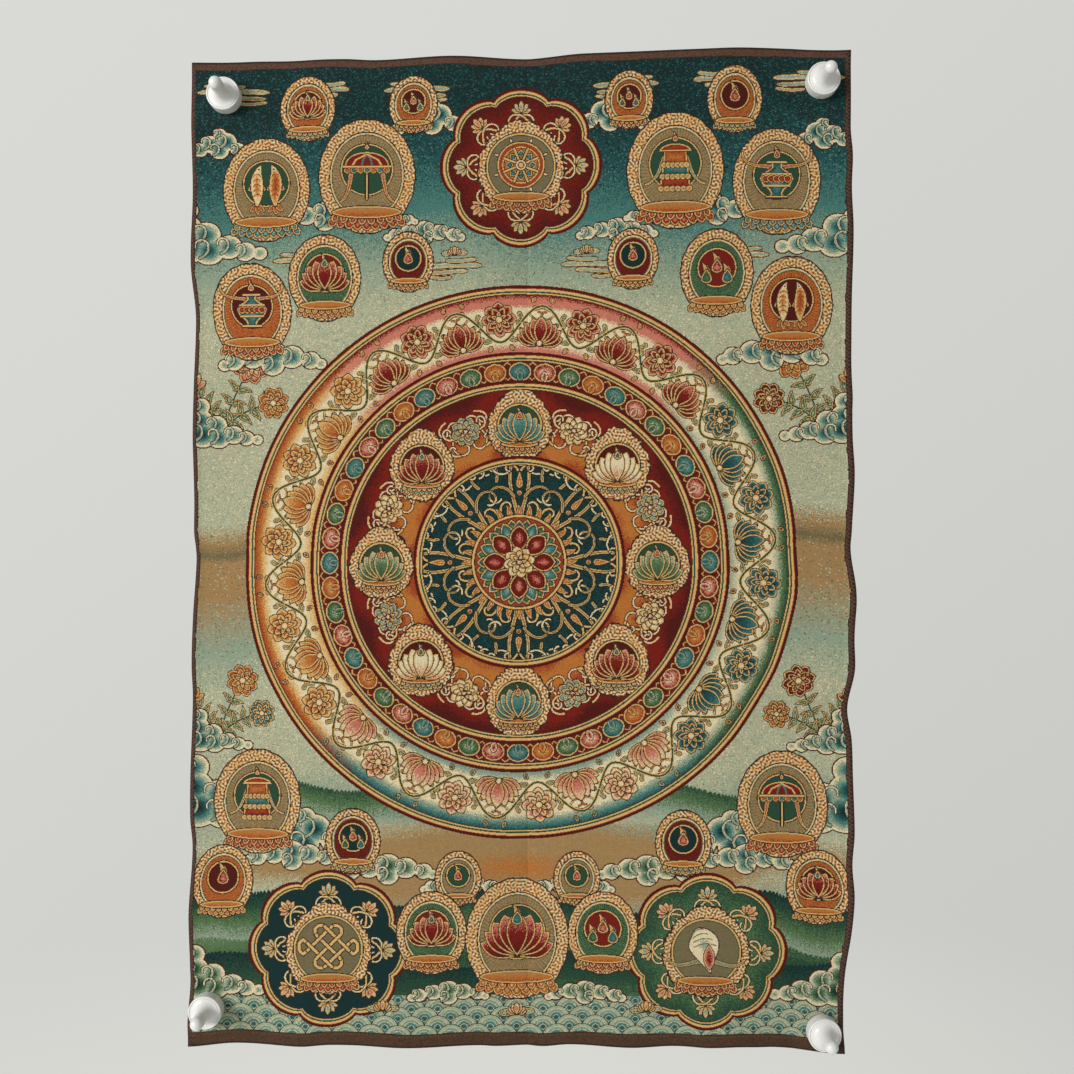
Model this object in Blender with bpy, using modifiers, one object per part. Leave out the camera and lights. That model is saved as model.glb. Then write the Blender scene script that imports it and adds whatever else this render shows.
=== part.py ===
# Woven thangka panel with hemmed edges, held against a wall by four large push pins.
# Origin on the wall plane at the middle of the top edge: +X right, +Z up, the front faces -Y.
import math

import bmesh
import bpy

MM = 0.001

# Corners of the hung panel on the wall plane, in metres (x, z)
TOP_LEFT = (-0.3006, -0.0036)
TOP_RIGHT = (0.3006, 0.0082)
BOTTOM_LEFT = (-0.3043, -0.9010)
BOTTOM_RIGHT = (0.2952, -0.9083)

# Cloth and its hems
CLOTH_THICK = 1.0 * MM
HEM_THICK = 1.8 * MM
SIDE_HEM_WIDE = 5.0 * MM
END_HEM_WIDE = 12.0 * MM
HEM_STEP = 0.6 * MM  # the slope between hem and cloth

# The two old folding creases, both valleys seen from the front
CREASE_X = 5.5 * MM
CREASE_Z = -443.7 * MM
CREASE_REACH = 15 * MM
CREASE_KEEPS = 0.25  # share of the relief left in a crease

# How far an edge's own waves and lift reach into the panel
WAVE_REACH = 70 * MM
LIFT_REACH = 48 * MM

# Waves of each edge in mm: place along the edge, how far it stands out from the line between the corners
LEFT_WAVES = (
    (-3.6, 0.0), (-48, 0.6), (-130, -2.2), (-185, -1.0), (-240, -5.5), (-335, -3.6), (-404, -4.8),
    (-431, -4.3), (-458, -6.8), (-554, -3.4), (-581, -4.6), (-690, -2.2), (-718, -4.3), (-786, -1.3),
    (-841, -1.8), (-882, 0.8), (-901, 0.0),
)
RIGHT_WAVES = (
    (8.2, 0.0), (-35, 0.4), (-62, 0.0), (-89, 1.9), (-117, 0.8), (-158, 2.3), (-267, 0.4), (-308, 1.8),
    (-322, 1.2), (-376, 3.6), (-431, 2.6), (-446, 1.9), (-486, 5.2), (-527, 3.4), (-554, 4.4), (-593, -0.6),
    (-622, 2.4), (-704, 3.6), (-732, 2.4), (-760, 3.8), (-854, -1.9), (-882, -1.7), (-908.3, 0.0),
)
TOP_WAVES = (
    (-300.6, 0.0), (-242, -0.3), (-201, -1.4), (-160, -0.9), (-133, -2.0), (-65, 0.0), (4, -3.0),
    (58, -0.4), (154, 1.6), (222, 2.2), (300.6, 0.0),
)
BOTTOM_WAVES = (
    (-304.3, 0.0), (-256, -4.2), (-201, -3.2), (-174, -4.8), (-106, -3.2), (-37, -5.4), (-24, -4.8),
    (4, -5.6), (17, -5.0), (45, -8.0), (99, -6.4), (140, -7.9), (168, -7.0), (195, -8.0), (222, -6.8),
    (295.2, 0.0),
)

# Lift of each edge off the wall in mm: place along the edge, height
LEFT_LIFT = (
    (-3.6, 1.0), (-110, 1.5), (-165, 3.5), (-240, 1.0), (-300, 3.0), (-350, 4.0), (-444, 2.0), (-500, 4.5),
    (-570, 2.5), (-640, 4.0), (-718, 1.5), (-780, 3.5), (-901, 2.5),
)
RIGHT_LIFT = (
    (8.2, 1.5), (-90, 1.0), (-158, 2.5), (-210, 1.5), (-262, 3.5), (-292, 2.0), (-322, 4.5), (-352, 2.5),
    (-384, 5.5), (-446, 2.0), (-500, 9.5), (-545, 8.0), (-593, 0.5), (-640, 7.0), (-704, 10.5),
    (-732, 8.5), (-762, 11.0), (-840, 4.0), (-908.3, 3.5),
)
TOP_LIFT = (
    (-300.6, 1.0), (-240, 1.0), (-180, 3.0), (-133, 1.5), (-65, 3.5), (4, 1.0), (70, 4.0), (130, 3.0),
    (200, 4.5), (300.6, 1.5),
)
BOTTOM_LIFT = (
    (-304.3, 2.5), (-256, 1.0), (-201, 3.5), (-150, 2.0), (-106, 4.0), (-37, 1.5), (4, 1.0), (45, 3.0),
    (99, 5.0), (140, 3.0), (195, 5.0), (250, 2.0), (295.2, 3.5),
)

# Soft swells of the panel between its creases in mm: middle x, middle z, height, spread x, spread z
SWELLS = (
    (-165, -215, 4.5, 95, 125),
    (150, -190, 5.0, 90, 110),
    (205, -345, 4.0, 75, 60),
    (-190, -560, 4.0, 85, 75),
    (-120, -735, 4.5, 100, 95),
    (165, -560, 5.5, 85, 75),
    (190, -735, 6.0, 80, 90),
)

# Grid lines of the cloth: how many steps between its stops, and how much closer they lie at a stop
COLUMN_STEPS = 13
ROW_STEPS = 33
COLUMN_CLOSE = 0.75
ROW_CLOSE = 0.35

# Push pins: middle of the foot on the wall plane (x, z)
PIN_PLACES = {
    "push_pin_top_left": (-0.2697, -0.0355),
    "push_pin_top_right": (0.2733, -0.0219),
    "push_pin_bottom_left": (-0.2861, -0.8659),
    "push_pin_bottom_right": (0.2742, -0.8864),
}
PIN_GAP = 0.3 * MM
PIN_STEPS = 24
DOME_STEPS = 4
RIM_STEPS = 3
FLARE_STEPS = 6
FOOT_RADIUS = 15.0 * MM
FOOT_THICK = 11.5 * MM
RIM_ROUND = 1.6 * MM
HEEL_ROUND = 0.8 * MM
PEG_RADIUS = 5.8 * MM
PEG_LENGTH = 38.5 * MM  # from the back of the foot to the tip
FLARE_START = 13.0 * MM  # radius where the face starts to rise towards the peg
FLARE_TOP = 24.0 * MM  # height where the flare has become the peg
FLAT_RADIUS = 27 * MM  # the cloth touches the wall this far round each pin
FREE_RADIUS = 95 * MM  # past this the pin no longer flattens the cloth
HEM_FLAT_RADIUS = 30 * MM
HEM_FREE_RADIUS = 42 * MM


def smooth(edge_a, edge_b, value):
    # 0 at edge_a and 1 at edge_b, eased at both
    t = min(max((value - edge_a) / (edge_b - edge_a), 0.0), 1.0)
    return t * t * (3.0 - 2.0 * t)


def read_table(table, place):
    # Eased value between the two rows of a table in mm that enclose a place in metres
    at = place / MM
    rows = sorted(table)
    if at <= rows[0][0]:
        return rows[0][1] * MM
    for (low, low_value), (high, high_value) in zip(rows, rows[1:]):
        if at <= high:
            return (low_value + (high_value - low_value) * smooth(low, high, at)) * MM
    return rows[-1][1] * MM


def mix(a, b, t):
    return a + (b - a) * t


def nearest_pin(x, z):
    return min(math.hypot(x - px, z - pz) for px, pz in PIN_PLACES.values())


def panel_point(u, v):
    # u runs 0 to 1 from left to right and v from top to bottom; returns x and z on the wall plane
    left_x = mix(TOP_LEFT[0], BOTTOM_LEFT[0], v)
    right_x = mix(TOP_RIGHT[0], BOTTOM_RIGHT[0], v)
    top_z = mix(TOP_LEFT[1], TOP_RIGHT[1], u)
    bottom_z = mix(BOTTOM_LEFT[1], BOTTOM_RIGHT[1], u)
    x = mix(left_x, right_x, u)
    z = mix(top_z, bottom_z, v)
    wide = right_x - left_x
    high = top_z - bottom_z
    left = math.exp(-u * wide / WAVE_REACH) * read_table(LEFT_WAVES, z)
    right = math.exp(-(1.0 - u) * wide / WAVE_REACH) * read_table(RIGHT_WAVES, z)
    top = math.exp(-v * high / WAVE_REACH) * read_table(TOP_WAVES, x)
    bottom = math.exp(-(1.0 - v) * high / WAVE_REACH) * read_table(BOTTOM_WAVES, x)
    return x - left + right, z + top - bottom


def lift_off_wall(u, v):
    # Height of the cloth's back over the wall: edge lifts and swells, drawn in at creases and pins
    x, z = panel_point(u, v)
    wide = TOP_RIGHT[0] - TOP_LEFT[0]
    high = TOP_LEFT[1] - BOTTOM_LEFT[1]
    height = math.exp(-u * wide / LIFT_REACH) * read_table(LEFT_LIFT, z)
    height += math.exp(-(1.0 - u) * wide / LIFT_REACH) * read_table(RIGHT_LIFT, z)
    height += math.exp(-v * high / LIFT_REACH) * read_table(TOP_LIFT, x)
    height += math.exp(-(1.0 - v) * high / LIFT_REACH) * read_table(BOTTOM_LIFT, x)
    for swell_x, swell_z, swell_height, spread_x, spread_z in SWELLS:
        across = (x / MM - swell_x) / spread_x
        along = (z / MM - swell_z) / spread_z
        height += swell_height * MM * math.exp(-0.5 * (across * across + along * along))
    for distance in (abs(x - CREASE_X), abs(z - CREASE_Z)):
        height *= 1.0 - (1.0 - CREASE_KEEPS) * math.exp(-distance / CREASE_REACH)
    return height * smooth(FLAT_RADIUS, FREE_RADIUS, nearest_pin(x, z))


def grid_lines(stops, steps, close):
    # Places from 0 to 1: each stop, and steps between neighbouring stops that lie closer near the stops
    lines = [0.0]
    for start, end in zip(stops, stops[1:]):
        count = steps if end - start > 0.1 else 1
        for i in range(1, count + 1):
            t = i / count
            lines.append(mix(start, end, t - close * math.sin(2.0 * math.pi * t) / (2.0 * math.pi)))
    return lines


def hem_share(u, v, columns, rows):
    # 1 on the raised hem and 0 on the plain cloth; the pins press the hem flat
    on_hem = u <= columns[1] or u >= columns[-2] or v <= rows[1] or v >= rows[-2]
    x, z = panel_point(u, v)
    return smooth(HEM_FLAT_RADIUS, HEM_FREE_RADIUS, nearest_pin(x, z)) if on_hem else 0.0


def make_material(name, colour, roughness):
    material = bpy.data.materials.new(name)
    material.use_nodes = True
    surface = material.node_tree.nodes["Principled BSDF"]
    surface.inputs["Base Color"].default_value = (*colour, 1.0)
    surface.inputs["Roughness"].default_value = roughness
    surface.inputs["Metallic"].default_value = 0.0
    return material


def make_cloth(collection, material):
    wide = TOP_RIGHT[0] - TOP_LEFT[0]
    high = TOP_LEFT[1] - BOTTOM_LEFT[1]
    hem_u = SIDE_HEM_WIDE / wide
    hem_v = END_HEM_WIDE / high
    crease_u = (CREASE_X - TOP_LEFT[0]) / wide
    crease_v = (TOP_LEFT[1] - CREASE_Z) / high
    step_u = HEM_STEP / wide
    step_v = HEM_STEP / high
    u_stops = (0.0, hem_u, hem_u + step_u, crease_u, 1.0 - hem_u - step_u, 1.0 - hem_u, 1.0)
    v_stops = (0.0, hem_v, hem_v + step_v, crease_v, 1.0 - hem_v - step_v, 1.0 - hem_v, 1.0)
    columns = grid_lines(u_stops, COLUMN_STEPS, COLUMN_CLOSE)
    rows = grid_lines(v_stops, ROW_STEPS, ROW_CLOSE)
    shape = bmesh.new()
    bmesh.ops.create_grid(shape, x_segments=len(columns) - 1, y_segments=len(rows) - 1, size=1.0)
    hems = {}
    for vert in shape.verts:
        column = round((vert.co.x + 1.0) / 2.0 * (len(columns) - 1))
        row = round((1.0 - vert.co.y) / 2.0 * (len(rows) - 1))
        u, v = columns[column], rows[row]
        x, z = panel_point(u, v)
        vert.co = (x, -lift_off_wall(u, v), z)
        hems[vert.index] = hem_share(u, v, columns, rows)
    mesh = bpy.data.meshes.new("cloth_panel")
    shape.to_mesh(mesh)
    shape.free()
    mesh.materials.append(material)
    cloth = bpy.data.objects.new("cloth_panel", mesh)
    collection.objects.link(cloth)
    group = cloth.vertex_groups.new(name="hem")
    for index, share in hems.items():
        group.add([index], mix(CLOTH_THICK, HEM_THICK, share) / HEM_THICK, "REPLACE")
    solid = cloth.modifiers.new("Thickness", "SOLIDIFY")
    solid.thickness = HEM_THICK
    solid.offset = 1.0
    solid.vertex_group = group.name
    return cloth


def pin_profile():
    # (radius, height) from the tip down the outer side to the middle of the back
    points = []
    dome_middle = PEG_LENGTH - PEG_RADIUS
    for i in range(DOME_STEPS + 1):
        turn = math.pi / 2.0 * i / DOME_STEPS
        points.append((PEG_RADIUS * math.sin(turn), dome_middle + PEG_RADIUS * math.cos(turn)))
    for i in range(FLARE_STEPS + 1):
        turn = math.pi / 2.0 * i / FLARE_STEPS
        radius = FLARE_START - (FLARE_START - PEG_RADIUS) * math.cos(turn)
        height = FLARE_TOP - (FLARE_TOP - FOOT_THICK) * math.sin(turn)
        points.append((radius, height))
    for i in range(1, RIM_STEPS + 1):
        turn = math.pi / 2.0 * i / RIM_STEPS
        radius = FOOT_RADIUS - RIM_ROUND * (1.0 - math.sin(turn))
        points.append((radius, FOOT_THICK - RIM_ROUND * (1.0 - math.cos(turn))))
    points.append((FOOT_RADIUS, HEEL_ROUND))
    points.append((FOOT_RADIUS - HEEL_ROUND, 0.0))
    points.append((0.0, 0.0))
    return points


def make_pin_mesh(material):
    mesh = bpy.data.meshes.new("push_pin")
    points = pin_profile()
    outline = [(radius, 0.0, height) for radius, height in points]
    mesh.from_pydata(outline, [(i, i + 1) for i in range(len(outline) - 1)], [])
    mesh.materials.append(material)
    return mesh


def make_pin(collection, name, place, mesh):
    pin = bpy.data.objects.new(name, mesh)
    collection.objects.link(pin)
    pin.location = (place[0], -(CLOTH_THICK + PIN_GAP), place[1])
    pin.rotation_euler = (math.pi / 2.0, 0.0, 0.0)
    turned = pin.modifiers.new("Turned", "SCREW")
    turned.axis = "Z"
    turned.angle = 2.0 * math.pi
    turned.steps = PIN_STEPS
    turned.render_steps = PIN_STEPS
    turned.use_merge_vertices = True
    turned.merge_threshold = 0.00001
    turned.use_smooth_shade = True
    return pin


def main():
    for thing in list(bpy.data.objects):
        bpy.data.objects.remove(thing)
    collection = bpy.data.collections.new("thangka_hanging")
    bpy.context.scene.collection.children.link(collection)
    make_cloth(collection, make_material("woven_cloth", (0.205, 0.156, 0.091), 0.8))
    pin_mesh = make_pin_mesh(make_material("white_plastic", (0.80, 0.79, 0.77), 0.35))
    for name, place in PIN_PLACES.items():
        make_pin(collection, name, place, pin_mesh)


main()
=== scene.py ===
# Woven panel on four push pins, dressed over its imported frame: metres, +Z up, the front faces -Y
import math

import bpy
import numpy as np
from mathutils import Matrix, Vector


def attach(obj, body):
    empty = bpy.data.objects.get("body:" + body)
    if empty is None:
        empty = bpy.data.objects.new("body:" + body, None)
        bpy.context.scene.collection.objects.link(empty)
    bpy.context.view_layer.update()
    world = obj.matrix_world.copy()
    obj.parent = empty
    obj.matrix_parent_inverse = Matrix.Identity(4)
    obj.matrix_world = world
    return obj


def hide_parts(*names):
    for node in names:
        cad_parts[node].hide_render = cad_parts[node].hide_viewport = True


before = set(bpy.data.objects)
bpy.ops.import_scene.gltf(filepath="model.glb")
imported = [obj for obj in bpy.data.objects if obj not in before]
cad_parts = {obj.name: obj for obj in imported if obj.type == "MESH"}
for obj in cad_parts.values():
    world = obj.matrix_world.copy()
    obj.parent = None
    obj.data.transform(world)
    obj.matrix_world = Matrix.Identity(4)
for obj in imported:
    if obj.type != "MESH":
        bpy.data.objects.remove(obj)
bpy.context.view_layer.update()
mm = 0.001
up = math.pi / 2  # the heading of a path that runs up the cloth

cloth = {
    "quads": (180, 270),  # across and down
    "cells": (5, 6),  # threads to a quad, across and down
    "flat": (600.0, 905.0),  # mm, as woven
    "seed": 11,
    "chance": 0.55,  # share of the speckle that is chance, the rest is evenly spread
    "wormPitch": ((4.6, 0.22), (3.1, 0.3)),  # mm and spread, coarse and fine
}

threadColours = {  # as seen on screen, 0 to 255
    "ink": (33, 28, 24),
    "bark": (60, 42, 34),
    "umber": (74, 54, 37),
    "brown": (92, 64, 52),
    "pine": (13, 43, 42),
    "teal": (30, 74, 74),
    "lagoon": (68, 115, 107),
    "mist": (136, 152, 130),
    "sage": (168, 170, 141),
    "cream": (215, 200, 162),
    "gold": (207, 167, 104),
    "tan": (154, 123, 80),
    "olive": (110, 99, 70),
    "amber": (174, 105, 44),
    "rust": (147, 60, 29),
    "red": (113, 24, 14),
    "maroon": (75, 18, 12),
    "rose": (190, 115, 95),
    "leaf": (80, 108, 70),
    "forest": (38, 70, 50),
}
threadNames = list(threadColours)
ember, water, grass = "rust amber gold", "teal lagoon mist", "forest leaf sage"  # runs of threads used often
wine, blush, clay = "maroon red rose", "red rose cream", "red rust rose"

# the sheet as point paper: one cell for each thread that shows, in mm from the middle
columns, rows = (quads * cells for quads, cells in zip(cloth["quads"], cloth["cells"]))
wide, high = cloth["flat"]
cellX = (np.arange(columns) + 0.5) / columns * wide - wide / 2
cellY = high / 2 - (np.arange(rows) + 0.5) / rows * high
draft = np.zeros((rows, columns), np.uint8)
dice = np.random.default_rng(cloth["seed"])
even = 52.9829189 * ((0.06711056 * np.arange(columns)[None, :] + 0.00583715 * np.arange(rows)[:, None]) % 1) % 1
speckle = (1 - cloth["chance"]) * even + cloth["chance"] * dice.random((rows, columns))
speckle = speckle.ravel().argsort().argsort().reshape(rows, columns) / speckle.size  # evened out to 0..1


def wormField(pitch, spread):
    # seeded noise kept only near one pitch, which leaves a maze of worms; 1 is its usual height
    noise = dice.standard_normal((rows, columns))
    across, down = np.fft.rfftfreq(columns, wide / columns)[None, :], np.fft.fftfreq(rows, high / rows)[:, None]
    band = np.exp(-(((np.hypot(across, down) * pitch - 1) / spread) ** 2))
    field = np.fft.irfft2(np.fft.rfft2(noise) * band, s=noise.shape)
    return field / field.std()


worms, fineWorms = (wormField(*kind) for kind in cloth["wormPitch"])
grain = np.kron(dice.random((rows // 2, columns // 2)), np.ones((2, 2)))  # lots for knots of two by two cells
for row in (2, 3):
    grain[row::4] = np.roll(grain[row::4], 1, 1)


# drawing kit
def spotOf(low, top):
    # the cells inside a box from low to top, and their places in mm
    c = np.searchsorted(cellX, (low[0], top[0]))
    r = np.searchsorted(-cellY, (-top[1], -low[1]))
    spot = (slice(r[0], r[1]), slice(c[0], c[1]))
    return spot, *np.meshgrid(cellX[spot[1]], cellY[spot[0]])


def around(at, reach):
    # the cells within reach of a place, their distance from it and their direction
    spot, x, y = spotOf(shift(at, -reach, -reach), shift(at, reach, reach))
    return spot, np.hypot(x - at[0], y - at[1]), np.arctan2(y - at[1], x - at[0])


def numbers(names):
    # the threads' places in threadColours
    return np.array([threadNames.index(name) for name in names], np.uint8)


def lay(spot, mask, threads, shade=0.0):
    # weaves threads into the masked cells; shade 0 to 1 runs through them, speckled between neighbours
    names = numbers(threads.split())
    place = np.clip(shade, 0, 1) * (len(names) - 1) + speckle[spot]
    picked = names[np.minimum(place.astype(int), len(names) - 1)]
    view = draft[spot]
    view[mask] = np.broadcast_to(picked, view.shape)[mask]


def nearPath(path, closed, x, y):
    # distance in mm from each cell to a path, the share of the path run there, and which cells it encloses
    a, b = (path, np.roll(path, -1, 0)) if closed else (path[:-1], path[1:])
    ax, ay, bx, by = (v[:, None, None] for v in (a[:, 0], a[:, 1], b[:, 0], b[:, 1]))
    ex, ey = bx - ax, by - ay
    t = np.clip(((x - ax) * ex + (y - ay) * ey) / (ex * ex + ey * ey + 1e-9), 0, 1)
    gap = (x - ax - t * ex) ** 2 + (y - ay - t * ey) ** 2
    k = gap.argmin(0)
    run = (k + np.take_along_axis(t, k[None], 0)[0]) / len(a)
    crossed = ((ay > y) != (by > y)) & (x < ex * (y - ay) / (ey + (np.abs(ey) < 1e-9) * 1e-9) + ax)
    return np.sqrt(gap.min(0)), run, crossed.sum(0) % 2 == 1


def paint(path, fill, lineWide=0.7, rimWide=0.7, line="bark", rim="gold", angle=None):
    # a closed shape: dark outline, light rim, and a fill shaded by depth from its edge, or along an angle
    spot, x, y = spotOf(path.min(0) - 1.5, path.max(0) + 1.5)
    if x.size == 0:
        return
    gap, _, inside = nearPath(path, True, x, y)
    depth = np.where(inside, gap, -gap)
    start = 0.0
    if line:
        lay(spot, depth > -lineWide * 0.4, line)
        start = lineWide * 0.6
    if rim:
        lay(spot, depth > start, rim)
        start += rimWide
    if angle is None:
        tone = (depth - start) / max(depth.max() - start, 0.5)
    else:
        way = x * math.cos(angle) + y * math.sin(angle)
        ends = way[inside] if inside.any() else way
        tone = (way - ends.min()) / (np.ptp(ends) + 1e-6)
    lay(spot, depth > start, fill, tone)


def stroke(path, thick, threads, line=None, lineWide=0.9, end=None):
    # an open line whose width runs from thick to end, outlined if it has a line
    thin = thick if end is None else end
    reach = max(thick, thin) + lineWide
    spot, x, y = spotOf(path.min(0) - reach, path.max(0) + reach)
    if x.size == 0:
        return
    gap, run, _ = nearPath(path, False, x, y)
    half = (thick + (thin - thick) * run) / 2
    if line:
        lay(spot, gap < half + lineWide, line)
    lay(spot, gap < half, threads, run)


def shift(at, dx, dy, size=1.0):
    # a place moved across and up
    return (at[0] + dx * size, at[1] + dy * size)


def polar(at, radius, angle):
    # a place at a distance and a direction
    return (at[0] + radius * math.cos(angle), at[1] + radius * math.sin(angle))


def put(path, at=(0, 0), size=1.0, turn=0.0, flip=1.0):
    # a path scaled, turned and moved; flip -1 mirrors it
    c, s = math.cos(turn), math.sin(turn)
    x, y = path[:, 0] * size * flip, path[:, 1] * size
    return np.stack((x * c - y * s + at[0], x * s + y * c + at[1]), 1)


def points(*pairs):
    # a path through given places
    return np.array(pairs, float)


def oval(radius, at=(0, 0), tall=1.0, n=32):
    # radius cos a across, radius tall sin a up
    a = np.linspace(0, math.tau, n, endpoint=False)
    return np.stack((at[0] + radius * np.cos(a), at[1] + radius * tall * np.sin(a)), 1)


def dome(half, foot, tall, sharp, n):
    # an arch over a foot line, tall sin(a)^sharp high
    a = np.linspace(0, math.pi, n)
    return np.stack((half * np.cos(a), foot + tall * np.sin(a) ** sharp), 1)


def foil(radius, at, lobes=8, deep=0.10, n=144):
    # a lobed round: radius (1 - deep + deep |cos(lobes a / 2)|^0.7)
    a = np.linspace(0, math.tau, n, endpoint=False)
    r = radius * (1 - deep + deep * np.abs(np.cos(lobes * a / 2)) ** 0.7)
    return np.stack((at[0] - r * np.sin(a), at[1] + r * np.cos(a)), 1)


def petal(half=0.3, peak=0.6, sharp=1.0, n=11):
    # half-width half sin(pi t^peak)^sharp up the petal, t from its foot at 0 to its tip at 1
    t = np.linspace(0, 1, n)
    w = half * np.maximum(np.sin(math.pi * t**peak), 0) ** sharp
    return np.concatenate((np.stack((-w, t), 1), np.stack((w, t), 1)[-2:0:-1]))


def curl(length, start=0.0, end=0.0, heading=up, n=18):
    # a path from 0, 0 whose bend grows evenly from start to end, in radians over its length
    s = np.linspace(0, 1, n)
    turn = heading + start * s + (end - start) * s * s / 2
    steps = np.stack((np.cos(turn), np.sin(turn)), 1) * length / (n - 1)
    return np.concatenate((np.zeros((1, 2)), np.cumsum(steps[:-1], 0)))


def ribbon(path, half):
    # a closed outline either side of a path, half-wide by the list half along it
    way = np.gradient(path, axis=0)
    way /= np.hypot(way[:, 0], way[:, 1])[:, None] + 1e-9
    side = np.stack((-way[:, 1], way[:, 0]), 1) * np.asarray(half)[:, None]
    return np.concatenate((path + side, (path - side)[::-1]))


def tongue(half, bend, tip, n=13):
    # a flame or leaf one unit long: a curling path half sin(pi t^0.55)^0.8 (1 - t / 4) to each side
    t = np.linspace(0, 1, n)
    return ribbon(curl(1.0, bend, tip, n=n), half * np.sin(math.pi * t**0.55) ** 0.8 * (1 - 0.25 * t))


def leafAt(at, size, turn, tones, shape=(0.5, 0.9, 0.6, 8), *look, **more):
    # one painted petal; shape holds its half-width, peak, sharpness and points
    paint(put(petal(*shape), at, size, turn), tones, *look, **more)


def lickAt(at, size, turn, tones, shape, lean=1):
    # one painted tongue; shape holds its half-width and its bend at foot and tip
    paint(put(tongue(*shape), at, size, turn, lean), tones)


def scarves(at, size, apart, over, bends, half, tones, rimWide=0.7):
    # a pair of bands along curls, each narrowing to half its width
    for flip in (-1, 1):
        band = ribbon(curl(*bends, n=16), half * np.linspace(1, 0.5, 16))
        paint(put(band, shift(at, flip * apart, over, size), size, flip=flip), tones, 0.7, rimWide)


# motifs
roundLine = ((2.5, 0.6, 2.2, 1.4, 1.2, 0.8), "maroon rust gold forest gold bark")  # mm from outside inwards


def bands(at, outer, widths, threads):
    # plain round lines from the outer radius inwards
    spot, r, _ = around(at, outer)
    for width, thread in zip(widths, threads.split()):
        lay(spot, (r < outer) & (r >= outer - width), thread)
        outer -= width


def scrollwork(spot, mask, pale=0.9):
    # a maze of gold worms with amber and dark gaps
    w = fineWorms[spot]
    lay(spot, mask, "gold")
    lay(spot, mask & (w > pale), "cream")
    lay(spot, mask & (w < -0.25), "amber rust", 0.45)
    lay(spot, mask & (w < -1.0), "olive brown", 0.55)


def aura(at, size, tall, tip):
    # a flame-shaped glory: an oval drawn up to a tip, its edge broken into licks, filled with scrollwork
    spot, x, y = spotOf(shift(at, -size - 4, -size * tall - 4), shift(at, size + 4, size * (tall + tip) + 4))
    dx, dy = (x - at[0]) / size, (y - at[1]) / (size * tall)
    a, r = np.arctan2(dy, dx), np.hypot(dx, dy)
    edge = 0.90 + tip * np.maximum(np.sin(a), 0) ** 7 + 0.055 * np.abs(np.sin(a * 6.5 + 5 * r + 0.5)) ** 0.6
    edge += worms[spot] * 0.45 / size
    lay(spot, r < edge + 0.9 / size, "ink bark", 0.5)
    scrollwork(spot, r < edge - 0.5 / size, 0.7)


def halo(at, size, ground, tall=1.2, rimShare=0.24):
    # an oval glory: a scroll-worked rim round a finely rayed ground
    spot, x, y = spotOf(shift(at, -size - 3, -size * tall - 3), shift(at, size + 3, size * tall + 3))
    dx, dy = x - at[0], (y - at[1]) / tall
    r, a = np.hypot(dx, dy), np.arctan2(dy, dx)
    rim = size * (0.985 + 0.015 * np.abs(np.cos(9 * a)))
    lay(spot, r < rim + 0.7, "ink bark", 0.5)
    scrollwork(spot, r < rim - 0.4)
    inner = size * (1 - rimShare)
    lay(spot, r < inner + 0.9, "ink")
    lay(spot, r < inner, "gold cream", 0.4)
    lay(spot, r < inner - 1.3, "forest olive", 0.4)
    rays = 0.5 + 0.28 * np.sign(np.sin(a * 70))
    lay(spot, r < inner - 2.2, ground, rays * np.clip(r / inner + 0.35, 0, 1))


def blossom(at, size, turn, tones, petals=8, heart="gold"):
    # an open flower seen from the front, in three layers of petals round a seeded heart
    rimWide = 0.9 if size > 11 else 0.6
    for layer, (reach, broad) in enumerate(((1.0, 0.36), (0.74, 0.30), (0.50, 0.24))):
        for k in range(petals - layer):
            a = turn + math.tau * (k + 0.5 * layer) / (petals - layer)
            leafAt(at, size * reach, a - up, tones, (broad, 0.95, 0.55, 9), 0.8, rimWide)
    paint(oval(size * 0.2, at, n=12), heart + " cream", 0.8, rim=None)


def lotus(at, size, tones, turn=0.0, petals=7):
    # a lotus seen from the side: pointed petals fanned from a foot, outer ones first
    half = (petals - 1) / 2
    for s in sorted(((k - half) / half for k in range(petals)), key=lambda s: -abs(s)):
        leafAt(at, size * (1.0 - 0.16 * abs(s)), turn - s * 1.22, tones, (0.235, 1.15, 0.75), 0.8, 1.0, angle=turn + up)


def seat(at, size, tones=clay):
    # a cushion on two rows of drooping petals
    for row, (count, reach) in enumerate(((9, 0.36), (8, 0.30))):
        for s in np.linspace(-1, 1, count):
            foot = shift(at, s * (0.88 - 0.06 * row), 0.10 * row - 0.03 + 0.03 * s * s, size)
            leafAt(foot, size * reach * (1 - 0.12 * abs(s)), math.pi + s * 0.55, tones, (0.42, 0.9, 0.7, 8), 0.8, 0.9)
    paint(oval(size * 0.98, shift(at, 0, 0.15, size), 0.19, 36), "rust amber tan", 0.9, 1.1, angle=up)


def jewel(at, size, tones="red rose"):
    # a drop inside five tongues of flame
    for turn, lean, reach in ((-0.5, 1, 0.85), (0.5, -1, 0.85), (-0.25, 1, 1.1), (0.25, -1, 1.1), (0.0, 1, 1.3)):
        lickAt(shift(at, 0, -0.2, size), size * reach, turn, "gold amber rust", (0.2, 0.0, 1.8), lean)
    leafAt(shift(at, 0, -0.4, size), size, 0.0, tones, (0.38, 0.62, 0.8), 0.8, 0.9)


def threeJewels(at, size):
    # two side by side and one over them
    for dx, dy, tones in ((-0.55, -0.45, "forest leaf"), (0.55, -0.45, "teal lagoon"), (0, 0.1, "red rose")):
        jewel(shift(at, dx, dy, size), size * 0.8, tones)


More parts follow.
